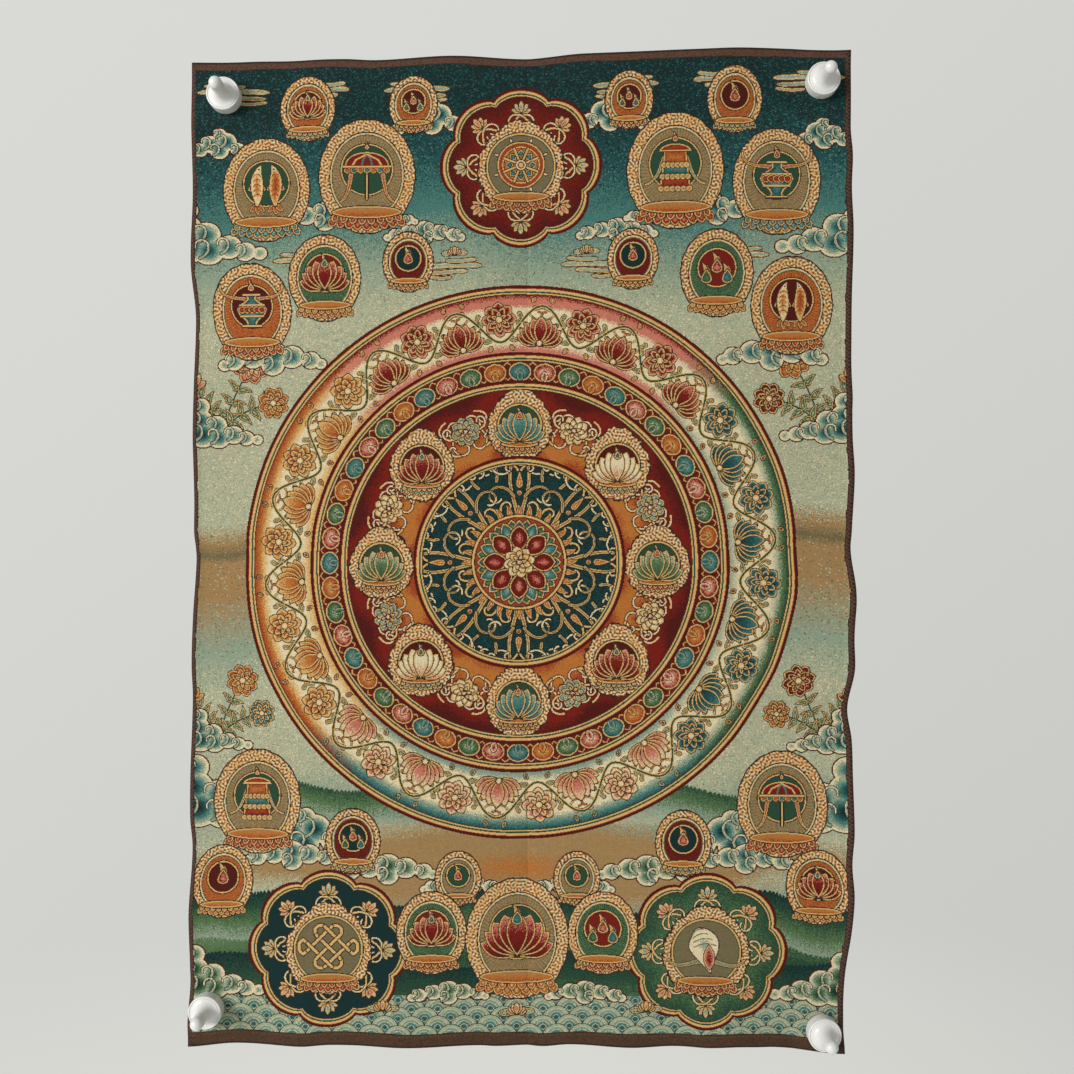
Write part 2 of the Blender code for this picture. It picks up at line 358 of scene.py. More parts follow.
def wheel(at, size):
    # the eight-spoked wheel
    bands(at, size, (0.8, 1.2, size * 0.14, 1.2, 0.8, size), "ink gold rust gold ink amber")
    for k in range(8):
        a = (k + 0.5) * math.pi / 4
        foot = polar(at, size * 0.3, a + math.pi / 8)
        leafAt(foot, size * 0.36, a - math.pi * 3 / 8, "teal lagoon", (0.45, 0.8, 0.8, 8))
        stroke(points(polar(at, size * 0.15, a), polar(at, size * 0.74, a)), 1.8, "gold", "ink", 0.7)
        leafAt(polar(at, size * 0.98, a), size * 0.22, a - up, "gold cream", (0.3, 0.9, 0.8, 8), rim=None)
    bands(at, size * 0.24, (0.8, 1.3, 1.0, size * 0.24), "ink cream red gold")


def parasol(at, size):
    # a striped dome with a valance, finial, pole and two scarves
    stroke(put(points((0, -1.1), (0, 0.6)), at, size), 2.0, "gold", "ink", 0.7)
    scarves(at, size, 0.55, 0.12, (1.5, -1.4, 3.0, -1.2), 0.11, "rust rose")
    paint(put(dome(0.9, 0.15, 0.66, 0.8, 24), at, size), "red", 0.9, 1.1)
    for k, tone in zip((-0.62, -0.22, 0.22, 0.62), ("gold", "lagoon", "lagoon", "gold")):
        stroke(put(points((0, 0.7), (k * 0.7, 0.48), (k, 0.17)), at, size), 1.5, tone)
    for k in range(7):
        leafAt(shift(at, (k - 3) * 0.26, 0.2, size), size * 0.3, math.pi, "teal lagoon" if k % 2 else "rust amber")
    stroke(put(points((-0.94, 0.19), (0.94, 0.19)), at, size), 1.8, "gold", "ink", 0.6)
    jewel(shift(at, 0, 0.98, size), size * 0.26)


def fishes(at, size):
    # two golden fishes, noses up, crossing at their tails
    for flip, tones in ((-1, "gold amber rust"), (1, "cream gold amber")):
        spine = put(curl(1.9, 1.2, -2.2, up - 0.15), shift(at, -0.42 * flip, -0.95, size), size, flip=flip)
        half = size * 0.30 * np.sin(math.pi * (0.08 + 0.86 * np.linspace(0, 1, 18))) ** 1.15
        for k, turns, broad in ((1, (math.pi - 0.7, math.pi + 0.1, math.pi + 0.8), 0.26), (9, (-2.2, 2.2), 0.3)):
            for turn in turns:
                leafAt(spine[k], size * 0.5, turn, "rust amber", (broad, 0.9, 0.8, 8))
        paint(ribbon(spine, half), tones, 0.9, 1.0)
        for k in range(4, 13, 2):
            stroke(put(oval(0.15, n=16, tall=0.7)[:9], spine[k], size), 0.8, "rust")
        paint(oval(size * 0.07, spine[15], n=8), "ink", 0.9, line="cream", rim=None)


def vase(at, size):
    # a turned outline with a collar, bands, a jewel and two scarves
    scarves(at, size, 0, 0.3, (1.9, -2.6, 5.6, 0.5), 0.11, "rust rose")
    jewel(shift(at, 0, 0.95, size), size * 0.42)
    h = np.array([-0.95, -0.86, -0.74, -0.6, -0.35, -0.08, 0.16, 0.32, 0.42, 0.5, 0.62, 0.68])
    w = np.array([0.5, 0.5, 0.26, 0.34, 0.64, 0.76, 0.64, 0.36, 0.24, 0.24, 0.42, 0.48])
    paint(put(np.concatenate((np.stack((-w, h), 1), np.stack((w, h), 1)[::-1])), at, size), water, 0.9, 1.2)
    for level, half in ((-0.86, 0.46), (-0.40, 0.56), (0.12, 0.6), (0.62, 0.4)):
        stroke(put(points((-half, level), (half, level)), at, size), 1.6, "gold", "ink", 0.5)
    for k in range(5):
        leafAt(shift(at, (k - 2) * 0.24, 0.1, size), size * 0.38, math.pi, "red rust", lineWide=0.6)


def conch(at, size):
    # a turned white shell with a spiral crown, an open lip and two scarves
    scarves(at, size, 0.1, -0.45, (1.6, -1.6, 4.4, -0.1), 0.12, "leaf mist", 0.6)
    half = 0.62 * np.sin(math.pi * np.linspace(0.03, 0.97, 18) ** 1.5) ** 0.9
    shell = ribbon(curl(2.0, -0.6, 1.4, up + 0.3), half)
    paint(put(shell, shift(at, 0.2, -1.0, size), size), "cream cream mist", 0.9, 1.2, rim="cream")
    for k in range(4):
        whorl = curl(0.95 - 0.16 * k, -0.9, -1.3, 0.55 + 0.1 * k, 10)
        stroke(put(whorl, shift(at, -0.5 - 0.02 * k, 0.1 + 0.2 * k, size), size), 0.9, "olive")
    leafAt(shift(at, 0.15, -0.85, size), size * 1.1, 0.05, "rose red", (0.22, 0.9, 0.8, 12), 0.8, 0.8)


def knot(at, size):
    # the endless knot: three bands each way on a turned lattice, ends joined by loops and two corners
    def lace(path, **look):
        # one stretch of band on the lattice
        stroke(put(path, at, 0.5 * size, math.pi / 4), 2.6, "gold", **look)

    t = np.linspace(-up, up, 9)
    loop = np.stack((1.35 + 0.5 * np.cos(t), 0.5 + 0.5 * np.sin(t)), 1)
    corner = points((1, -1.3), (1.05, -1.9), (1.5, -1.9), (1.9, -1.5), (1.9, -1.05), (1.3, -1))
    for join in (loop, -loop, loop[:, ::-1], -loop[:, ::-1], corner, -corner):
        lace(join, line="ink")
    for k in (-1, 0, 1):
        lace(points((-1.4, k), (1.4, k)), line="ink")
    for k in (-1, 0, 1):
        lace(points((k, -1.4), (k, 1.4)), line="ink")
    for k, j in ((-1, 0), (0, -1), (0, 1), (1, 0)):  # where a level band passes over
        lace(points((j - 0.3, k), (j + 0.3, k)), line="ink")
        lace(points((j - 0.45, k), (j + 0.45, k)))


def banner(at, size):
    # a round cloth in three flounced tiers under a cap, with two scarves
    scarves(at, size, 0.3, 0.6, (1.7, -1.6, 3.6, -1.0), 0.1, "lagoon mist")
    for level, half, tones in ((-0.78, 0.62, "red rust"), (-0.3, 0.56, "teal lagoon"), (0.16, 0.5, "rust amber")):
        foot, top = level - 0.1, level + 0.46
        tier = points((-half, foot), (half, foot), (half * 0.92, top), (-half * 0.92, top))
        paint(put(tier, at, size), tones, 0.9, 1.0)
        for k in range(6):
            foot = shift(at, (k - 2.5) * half * 0.36, level, size)
            leafAt(foot, size * 0.27, math.pi, "gold tan", lineWide=0.6, rimWide=0.6)
    paint(put(dome(0.66, 0.56, 0.34, 1, 16), at, size), "red rust", 0.9, 1.2)
    jewel(shift(at, 0, 1.06, size), size * 0.3)


def openLotus(at, size):
    # nine petals and a jewel over them
    lotus(shift(at, 0, -0.85, size), size * 1.75, wine, 0, 9)
    jewel(shift(at, 0, 0.55, size), size * 0.55, "teal lagoon")


def leaves(at, size):
    # a round lotus leaf on each side of a bud
    for dx, dy, r in ((-0.9, -0.1, 0.62), (0.95, 0.0, 0.55)):
        middle = shift(at, dx, dy, size)
        paint(oval(size * r, middle, 0.55, 26), grass, 0.9, 0.9)
        for a in np.arange(7) * math.tau / 7:
            stroke(points(middle, shift(middle, 0.85 * r * math.cos(a), 0.47 * r * math.sin(a), size)), 0.7, "sage")
    lotus(shift(at, 0, -0.3, size), size * 1.1, blush)


def shrine(at, size, symbol, tones, ground):
    # a symbol on a seat in its oval glory
    halo(at, size, ground)
    nimbus = {"olive": "forest", "rust": "maroon", "forest": "red", "maroon": "pine"}[ground.split()[0]]
    bands(shift(at, 0, 0.14, size), size * 0.56, (0.8, 1.2, 0.7, size), "ink gold ink " + nimbus)
    seat(shift(at, 0, -0.86, size), size * 0.74, tones)
    symbol(shift(at, 0, 0.10, size), size * 0.52)


# clouds as overlapping rounds: across, up, radius
towering = ((-1.5, -0.2, 0.34), (1.55, -0.22, 0.30), (-1.0, 0.0, 0.46), (1.05, 0.0, 0.44),
            (-0.42, 0.30, 0.56), (0.42, 0.42, 0.60), (0.05, -0.05, 0.55), (0.1, 0.85, 0.38))
lowLying = ((-1.68, -0.1, 0.24), (1.64, -0.08, 0.22), (-1.35, 0.02, 0.36), (1.3, 0.04, 0.34),
            (-0.7, 0.14, 0.42), (0.65, 0.16, 0.44), (0.0, 0.24, 0.5), (0.0, -0.1, 0.42))
cornered = ((-1.0, 1.1, 0.40), (-1.0, 0.55, 0.52), (-0.9, 0.0, 0.60), (-0.35, 0.35, 0.46),
            (-0.25, -0.12, 0.50), (0.35, -0.02, 0.42), (0.85, -0.16, 0.34), (1.3, -0.22, 0.24))


def cloudBank(at, size, lobes, flip=1.0, tones="cream mist lagoon teal pine"):
    # rounds as one cloud: pale at the edge and deep inside, with a comma curl in each large round
    cx, cy, cr = (np.array(v) for v in zip(*lobes))
    cx, cy, cr = at[0] + flip * cx * size, at[1] + cy * size, cr * size
    spot, x, y = spotOf((min(cx - cr) - 2, min(cy - cr) - 2), (max(cx + cr) + 2, max(cy + cr) + 2))
    if x.size == 0:
        return
    depth = np.max([r - np.hypot(x - a, (y - b) * 1.12) for a, b, r in zip(cx, cy, cr)], axis=0)
    lay(spot, depth > -0.5, "maroon ink", 0.4)
    lay(spot, depth > 0.7, "cream")
    lay(spot, depth > 2.0, tones, (depth - 2.0) / (size * 0.46))
    for a, b, r in zip(cx, cy, cr):
        if r > size * 0.3:
            hook = put(curl(r * 2.3, 2.4, 7.5, 0.4, 20), (a - flip * r * 0.55, b - r * 0.45), flip=flip)
            stroke(hook, min(2.4, r * 0.22), "mist cream", "ink", 0.7, 1.1)


def wisps(at, length, flip, tones):
    # long level streaks, one below the other, that end in points
    t = np.linspace(0, 1, 14)
    taper = np.minimum(np.sin(math.pi * (0.02 + 0.96 * t)) * 3, 1) ** 0.6
    streaks = ((0.0, 0.0, 1.0, 5.6), (0.10, -5.6, 0.70, 4.6), (-0.12, 5.2, 0.58, 4.4), (0.26, -10.4, 0.42, 3.8))
    for k, (dx, dy, share, thick) in enumerate(streaks):
        middle = np.stack((at[0] + flip * (dx + (t - 0.5) * share) * length, at[1] + dy + 0.9 * np.sin(t * 4 + k)), 1)
        paint(ribbon(middle, thick * 0.5 * taper), tones.split()[k] + " mist cream", 0.8, angle=up)


def spray(at, size, flip, tones, other):
    # a flowering plant: three stems with leaves, two open flowers and a bud
    for bend, reach, head, big in ((0.7, 1.7, 1.95, 0.0), (-0.5, 2.3, 1.35, 0.62), (-1.2, 1.9, 0.95, 0.52)):
        stem = put(curl(reach, bend, bend * 0.3, head, 16), at, size, flip=flip)
        stroke(stem, 1.5, "forest", "sage", 0.6)
        for k in (3, 6, 9, 12):
            way = math.atan2(stem[k + 1][1] - stem[k][1], stem[k + 1][0] - stem[k][0]) - up
            for side in (-1, 1):
                lickAt(stem[k], size * 0.5, way + side * 0.9, grass, (0.24, 0.3, 1.4), side)
        if big:
            blossom(stem[-1], size * big, bend, tones if big > 0.55 else other)
        else:
            lotus(stem[-1], size * 0.6, tones, 0.2 * flip, 5)


# the grounds
heights = (  # mm up from the middle, thread: each runs into the next
    (460, "pine"), (400, "pine"), (352, "teal"), (306, "lagoon"), (262, "mist"), (222, "sage"), (37, "sage"),
    # the olive row at 9 mm is painted shade: a dark streak along the level fold line
    (20, "tan"), (9, "olive"), (1, "tan"), (-28, "tan"), (-80, "mist"), (-120, "sage"), (-196, "sage"),
    (-225, "mist"), (-262, "sage"), (-282, "tan"), (-300, "sage"), (-318, "mist"), (-350, "leaf"),
    (-380, "forest"), (-405, "leaf"), (-430, "mist"), (-460, "sage"),
)
strays = (  # ground, lots from and to, thread
    ("sage", 0.0, 0.09, "cream"), ("sage", 0.985, 1.0, "tan"), ("sage", 0.90, 1.0, "mist"), ("pine", 0.0, 0.08, "teal"),
)
knots = (  # ground, lighter and darker knots, share of each
    ("tan", "sage", "olive", 0.03), ("sage", "cream", "mist", 0.045), ("mist", "sage", "olive", 0.03),
    ("pine", "teal", "ink", 0.13), ("teal", "lagoon", "pine", 0.10),
)


def field():
    # deep sky, pale middle with a warm belt that carries a painted shade streak along the level fold, and meadow, their
    # levels swaying by two sines
    sway = 7 * np.sin(cellX / 61) + 4 * np.sin(cellX / 23 + 1)
    levels, names = zip(*heights[::-1])
    place = np.interp(cellY[:, None] + sway, levels, np.arange(len(levels))) + speckle
    draft[:] = numbers(names)[np.minimum(place.astype(int), len(names) - 1)]
    whole = (slice(0, rows), slice(0, columns))
    stray = dice.random(draft.shape)
    for ground, low, top, pick in strays:
        lay(whole, (stray >= low) & (stray < top) & (draft == threadNames.index(ground)), pick)
    plain = draft.copy()
    for ground, light, dark, share in knots:
        lay(whole, (plain == threadNames.index(ground)) & (grain > 1 - share), light)
        lay(whole, (plain == threadNames.index(ground)) & (grain < share), dark)


def waves(low, top, pitch):
    # rows of overlapping round waves, each of a few lines
    spot, x, y = spotOf((-wide / 2, low), (wide / 2, top))
    for k in range(int((top - low) / pitch / 0.36) + 2):
        level = top - k * pitch * 0.36
        dx = (x + (k % 2) * pitch / 2 + pitch * 50) % pitch - pitch / 2
        r = np.hypot(dx, (y - level) * 1.1 + pitch * 0.2) / (pitch * 0.52)
        disc = (r < 1) & (y < level + pitch * 0.5)
        lay(spot, disc, "teal lagoon mist sage", r)
        lay(spot, disc & (np.abs((r * 4 + 0.1) % 1 - 0.5) > 0.40), "cream sage", 0.4)
        lay(spot, disc & (r > 0.94), "pine")


def hills(base, sway, pitch, phase, tones, deep):
    # a ridge line with a fringe of grass, shaded down its slope
    spot, x, y = spotOf((-wide / 2, base - deep - 20), (wide / 2, base + sway + 8))
    ridge = base + sway * np.sin(x / pitch + phase) + 0.4 * sway * np.sin(x / pitch * 2.7 + 2 * phase)
    fringe = 2.2 * np.abs(np.sin(x * 0.9 + 2 * np.sin(x * 0.13))) + 1.2 * speckle[spot]
    depth = ridge + fringe - y
    lay(spot, (depth > 0) & (depth < deep), tones, depth / deep)


# the wheel of rings
wheelRings = {"at": (0, -8), "outer": 252, "scroll": 52, "petals": 17, "fire": 60}  # mm, widths from outside inwards
quarters = (  # right, top, left, bottom of the scroll ring: ground from its edges inwards, and two sets of petals
    ("forest leaf sage cream", "pine teal lagoon", "maroon red rust"),
    ("red rose rose cream", wine, ember),
    ("rust amber gold cream", ember, wine),
    ("teal lagoon mist cream", "rust rose cream", "pine teal lagoon"),
)


def scrollRing(at, edge, inner, bends=36):
    # a vine that swings between the edges, with a flower in each bend and leaves between
    spot, r, a = around(at, edge)
    quarter = (np.floor(a / up + 0.5 + 0.16 * (speckle[spot] - 0.5)) % 4).astype(int)
    mid, half = (edge + inner) / 2, (edge - inner) / 2
    off = np.where(r > mid, (r - mid) / half, (mid - r) / half * 0.72)
    for k, (ground, _, _) in enumerate(quarters):
        lay(spot, (r < edge) & (r > inner) & (quarter == k), ground, np.clip(1.95 - 2.0 * off, 0, 1))
    phase = np.linspace(0, math.tau, bends * 10 + 1)
    swing = mid + half * 0.62 * np.sin(phase * bends / 2)
    vine = np.stack((at[0] + swing * np.cos(phase), at[1] + swing * np.sin(phase)), 1)
    # the bends in turn: angle, out or in, half a turn for those that face in
    places = [((k + 0.5) * math.tau / bends, 1 - k % 2 * 2, k % 2 * math.pi) for k in range(bends)]
    # leaves beside each bend: out, along, length, turn
    blades = ((0.50, 0.040, 11.5, 1.15), (0.05, 0.072, 11.0, 2.3), (-0.42, 0.080, 10.0, 0.3))
    for a0, out, about in places:
        away = a0 - up + about
        for side in (-1, 1):
            tendril = curl(20, 0.6, 8.5)
            foot = polar(at, mid + out * half * 0.34, a0 + side * 0.050)
            stroke(put(tendril, foot, 1.0, away + side * 0.7 + math.pi, side), 1.2, "gold amber", "bark", 0.5)
            for far, spread, reach, turn in blades:
                foot = polar(at, mid + out * half * far, a0 + side * spread)
                lickAt(foot, reach, away - side * turn, grass, (0.22, 0.3, 1.8), -side)
    for part in range(bends):
        stroke(vine[part * 10:part * 10 + 11], 1.6, "forest", "gold", 0.7)
    for k, (a0, out, about) in enumerate(places):
        _, tones, other = quarters[int(math.floor(a0 / up + 0.5)) % 4]
        if k % 2:
            blossom(polar(at, mid + half * 0.16, a0), 16.5, a0, backwards(tones))
        else:
            lotus(polar(at, mid - half * 0.74, a0), 27, tones, a0 - up, 9)
            paint(oval(3.0, polar(at, mid - half * 0.66, a0), n=10), "gold cream", 0.9, rim=None)
        for side in (-1, 1):
            bud = polar(at, mid + out * half * 0.72, a0 + side * 0.042)
            leafAt(bud, 6.5, a0 - up - side * 0.5 + about, other, (0.34, 0.8, 0.7, 8), 0.8, 0.6)


def backwards(tones):
    # the same threads from last to first
    return " ".join(tones.split()[::-1])


def petalRing(at, edge, inner, count=48):
    # a ring of upright petals in four colours over red ones
    deep, step = edge - inner, math.tau / count
    spot, r, _ = around(at, edge)
    lay(spot, (r < edge) & (r > inner), "maroon red", 0.5)
    for k in range(count):
        turn = (k + 0.5) * step
        leafAt(polar(at, inner, turn), deep, turn - up, "red maroon", (0.30, 1.1, 0.6, 9), 0.7, 0.8)
    for k in range(count):
        turn, tones = k * step, (water, ember, grass, blush)[k % 4]
        foot = polar(at, inner - 1, turn)
        leafAt(foot, deep + 0.6, turn - up, tones, (0.58, 1.0, 0.5, 12), 0.8, 1.1)
        leafAt(foot, deep * 0.62, turn - up, backwards(tones), (0.30, 1.0, 0.6, 10), rim=None)


def fireRing(at, edge, inner):
    # dark red running to amber, gold scrolls, and eight flaming emblems
    spot, r, a = around(at, edge)
    share = (edge - r) / (edge - inner) + 0.10 * np.sin(8 * a + 1.2) + 0.05 * np.sin(19 * a)
    lay(spot, (r < edge) & (r > inner), "maroon red red rust amber amber rust", share)
    mid = (edge + inner) / 2
    scrolls = (  # out from the middle, along, length, bend at foot and tip, heading
        (8, 0.05, 44, -0.6, 10.0, 0.9), (-8, 0.06, 38, 0.6, -10.0, -0.9), (17, 0.10, 24, 0.5, 9.0, 0.3),
        (-16, 0.12, 20, -0.5, -9.0, -0.3), (0, 0.08, 26, -1.5, -9.0, 0.1))
    for k in range(8):
        a0 = up + (k + 0.5) * math.pi / 4
        for side in (-1, 1):
            for out, along, length, *bend in scrolls:
                path = put(curl(length, *bend, 24), polar(at, mid + out, a0 + side * along), 1.0, a0 + up, side)
                stroke(path, 1.9, "gold cream", "maroon", 0.8, 1.2)
        blossom(polar(at, mid + 2, a0), 14, a0, ("lagoon mist cream", "gold cream cream")[k % 2], heart="red")
    for k in range(8):
        middle = polar(at, mid - 1, up + k * math.pi / 4)
        aura(shift(middle, 0, -3), 31, 1.02, 0.20)
        bands(shift(middle, 0, -2), 21.5, (0.9, 1.5, 0.8, 22), "ink gold ink " + ("forest", "maroon")[k % 2])
        seat(shift(middle, 0, -21), 18, (clay, water)[k % 2])
        lotus(shift(middle, 0, -16.5), 30, (water, wine, grass, "rose cream cream")[k % 4], 0.0, 9)
        jewel(shift(middle, 0, 7), 8.5, ("red rose", "teal lagoon")[k % 2])


def heart(at, edge):
    # gold scrolls on a dark disc round a flower in three rows of petals
    spot, r, _ = around(at, edge)
    lay(spot, r < edge, "pine teal", 0.18)
    scrolls = (  # foot, length, bend at foot and tip, heading, thickness
        (2.0, 44, 118, -1.1, 12.5, 1.35, 3.2), (5.0, 60, 46, -1.4, -9.5, 0.95, 2.4), (21, 74, 40, -1.5, -10, 1.75, 2.4),
        (9, 98, 26, 1.0, 9.0, 2.9, 2.0), (33, 88, 22, 1.0, 9.0, 2.5, 1.8), (16, 44, 24, 1.5, 9.0, 1.2, 1.8),
        (1.5, 84, 20, -0.6, -8.5, 1.0, 1.8))
    for turn in np.arange(8) * math.pi / 4:
        for side in (-1, 1):
            for fx, fy, length, *bend, thick in scrolls:
                path = put(put(curl(length, *bend, 30), (fx, fy)), at, 1.0, turn, side)
                stroke(path, thick, "gold gold cream", "ink", 0.9, 1.3)
                if thick > 2.2:
                    stroke(path[:22], 0.9, "olive")
        paint(put(tongue(0.2, 0.0, 0.0), polar(at, edge - 22, up + turn), 17, turn), ember, 0.9, 0.9)
        paint(oval(2.6, polar(at, edge - 26, up + turn), n=10), "red rose", 0.9, 0.6)
    for a in np.arange(32) * math.tau / 32:
        lickAt(polar(at, 42, a), 12, a - up, ember, (0.26, -0.4, 2.2))
    bands(at, 44, (0.9, 2.0, 0.9, 50), "ink gold ink rust")
    layers = ((16, 29, 11, 0.5, 0.24, grass), (16, 29, 10, 0, 0.24, water), (8, 25, 9, 0, 0.36, wine))
    for count, reach, foot, off, broad, tones in layers:
        for k in range(count):
            a0 = up + (k + off) * math.tau / count
            leafAt(polar(at, foot, a0), reach, a0 - up, tones, (broad, 1.1, 0.7), 0.9, 1.0)
    blossom(at, 15, 0.2, "cream gold amber", heart="red")


def mandala():
    # from the middle outwards, so that each ring trims the one inside it
    at, outer, line = wheelRings["at"], wheelRings["outer"], sum(roundLine[0])
    scroll = outer - line
    petals = scroll - wheelRings["scroll"] - line
    fire = petals - wheelRings["petals"] - line
    core = fire - wheelRings["fire"] - line
    heart(at, core + 1)
    fireRing(at, fire + 0.5, core + line - 0.5)
    bands(at, core + line, *roundLine)
    petalRing(at, petals + 0.5, fire + line - 0.5)
    bands(at, fire + line, *roundLine)
    scrollRing(at, scroll + 0.5, petals + line - 0.5)
    bands(at, petals + line, *roundLine)
    bands(at, outer, *roundLine)


def medallion(at, size, ground, symbol):
    # a lobed round: line, ground that pales inwards, scrolls, flames and a symbol on a seat
    grow = 0.0
    for width, thread in zip(roundLine[0], roundLine[1].split()):
        paint(foil(size - grow, at), thread, line=None, rim=None)
        grow += width
    paint(foil(size - grow, at), ground, line=None, rim=None)
    for k in range(16):
        a0, side = up + (k + 0.5) * math.pi / 8, 1 if k % 2 else -1
        scroll = curl(size * 0.55, side, 11 * side, 0.75 * side, 22)
        stroke(put(scroll, polar(at, size * 0.55, a0), 1.0, a0), 1.8, "gold cream", "ink", 0.7, 1.1)
    for k in range(8):
        a0 = up + k * math.pi / 4
        lotus(polar(at, size * 0.68, a0), size * 0.16, (blush if k % 2 else "lagoon mist cream"), a0 - up, 5)
    aura(shift(at, 0, -0.03, size), size * 0.56, 1.02, 0.14)
    bands(at, size * 0.44, (0.9, 1.6, 0.8, size), "ink gold forest olive")
    seat(shift(at, 0, -0.42, size), size * 0.36)
    symbol(shift(at, 0, 0.03, size), size * 0.30)


# where things stand, in mm from the middle; each row is set on the left and again on the right
skyWisps = (  # left, right, length, way of the left one, threads
    ((-262, 425), (262, 428), 66, 1, "cream teal mist rose"), ((-95, 424), (95, 424), 60, 1, "mist lagoon cream rose"),
    ((-190, 268), (190, 268), 70, 1, "cream mist lagoon rose"),
    ((-60, 262), (62, 262), 50, -1, "cream rose mist lagoon"),
    ((-176, 425), (176, 426), 40, -1, "teal cream mist rose"),
)
skyClouds = (  # left x, right x, y, size, rounds, way of the left one
    (-178, 178, 306, 24, lowLying, 1), (-88, 88, 290, 20, lowLying, -1), (-276, 276, 282, 30, cornered, 1),
    (-82, 82, 392, 19, towering, 1), (-276, 276, 372, 17, towering, 1),
)
meadowClouds = (
    (-262, 262, -232, 34, cornered, 1), (-196, 196, -262, 26, towering, 1), (-118, 118, -290, 25, lowLying, 1),
    (-52, 52, -304, 20, lowLying, -1), (-62, 62, -404, 20, lowLying, 1), (-270, 270, -396, 26, cornered, 1),
)
sideClouds = (
    (-226, 228, 176, 27, lowLying, 1), (-124, 124, 304, 17, lowLying, 1), (-206, 206, -278, 24, lowLying, 1),
)
plants = ((272, 112, 29, ((blush, ember), (ember, wine))), (275, -168, 25, ((ember, water), (wine, ember))))
olives, rusts = "olive tan", "rust amber"
emblems = (  # x, y, size, symbol on the left and on the right, seat, ground
    (102, 266, 23, (jewel, jewel), ember, "maroon red"), (98, 410, 22, (threeJewels, threeJewels), clay, rusts),
    (194, 408, 25, (openLotus, jewel), water, rusts), (140, 345, 44, (parasol, banner), clay, olives),
    (232, 334, 40, (fishes, vase), water, olives), (178, 252, 33, (openLotus, threeJewels), ember, "forest leaf"),
    (246, 222, 37, (vase, fishes), clay, rusts), (54, -296, 21, (jewel, jewel), ember, olives),
    (150, -262, 25, (threeJewels, jewel), water, "maroon red"), (238, -226, 40, (banner, parasol), clay, olives),
    (270, -300, 28, (jewel, openLotus), ember, rusts), (78, -346, 32, (openLotus, threeJewels), clay, "forest leaf"),
)


def clouds(rowsOfClouds):
    # each row on the left and mirrored on the right; low ones are green
    for left, right, y, size, lobes, way in rowsOfClouds:
        tones = "cream mist leaf forest pine" if y < -280 else "cream mist lagoon teal pine"
        cloudBank((left, y), size, lobes, way, tones)
        cloudBank((right, y), size, lobes, -way, tones)


def picture():
    # grounds first, then clouds and plants, the wheel, the rounds and the emblems
    field()
    for left, right, length, way, tones in skyWisps:
        wisps(left, length, way, tones)
        wisps(right, length, -way, tones)
    clouds(skyClouds)
    hills(-212, 7, 52, 0.4, "forest leaf mist sage", 40)
    spot, x, y = spotOf((-285, -350), (285, -225))  # a warm glow over the meadow
    glow = np.hypot(x / 235, (y + 286) / 46)
    lay(spot, glow + 0.4 * (speckle[spot] - 0.5) < 0.9, "amber tan tan tan", glow)
    hills(-318, 9, 37, 2.1, "pine forest leaf mist", 44)
    hills(-372, 8, 44, 0.2, "pine forest leaf", 50)
    waves(-440, -404, 24)
    clouds(meadowClouds)
    for x, y, size, flowers in plants:
        for side, (tones, other) in zip((-1, 1), flowers):
            spray((side * x, y), size, -side, tones, other)
            cloudBank((side * (x - 2), y - 2), size * 0.8, cornered, -side)
    clouds(sideClouds)
    mandala()
    medallion((0, 352), 74, "maroon red red rose", wheel)
    medallion((-172, -362), 74, "pine pine pine teal", knot)
    medallion((172, -362), 74, "forest leaf leaf", conch)
    for x, y, size, symbols, tones, ground in emblems:
        for side, symbol in zip((-1, 1), symbols):
            shrine((side * x, y), size, symbol, tones, ground)
    shrine((0, -352), 47, openLotus, ember, olives)
    for x, y, size in ((-60, 274, 8), (60, 274, 8), (-122, -416, 10), (118, -416, 10), (0, -420, 11)):
        leaves((x, y), size)


hem = {  # mm
    "side": (3.3, 3.9),  # brown threads, and with the painted shade line inside them where the hem steps down
    "end": (12.0, 12.7),
    "topLess": 5.2,
    "rightMore": 1.5,
    "edge": (0.9, 1.4),  # dark turned edge, sides and ends
    "overlock": (3.6, 1.5),  # pitch, width of a dark thread
    "stitches": (10.2, 3.6, 2.3),  # place, pitch, length
}


def hems():
    # dark overlocked sides, and turned ends with a row of stitches, edged inside by a painted shade line where the hem
    # steps down; two slow sines make their lines waver
    spot, x, y = spotOf((-wide, -high), (wide, high))
    atSide, atEnd = wide / 2 - np.abs(x), high / 2 - np.abs(y)
    fromSide = atSide - np.where(x > 0, hem["rightMore"], 0) + 0.25 * np.sin(y / 3.1) + 0.2 * np.sin(y / 7.7)
    fromEnd = atEnd + np.where(y > 0, hem["topLess"], 0) + 0.3 * np.sin(x / 19)
    side, end = fromSide < hem["side"][0], fromEnd < hem["end"][0]
    # painted shade: a dark line along the hems' inner edge, where the thicker hem steps down to the picture
    lay(spot, (fromSide < hem["side"][1]) | (fromEnd < hem["end"][1]), "bark ink", 0.35)
    lay(spot, side | end, "umber brown", np.where((y > 0) | ~end, 0.9, 0.1))
    lay(spot, end & (grain < 0.15), "umber bark", np.where(y > 0, 0.1, 0.7))
    pitch, width = hem["overlock"]
    lay(spot, side & ((y + 2.0 * (fromSide > 1.7)) % pitch < width), "bark ink", 0.25)
    lay(spot, (atSide < hem["edge"][0]) | (atEnd < hem["edge"][1]), "bark ink", 0.45)
    place, pitch, length = hem["stitches"]
    lay(spot, (y < 0) & (np.abs(fromEnd - place) < 0.5) & (x % pitch < length), "brown")


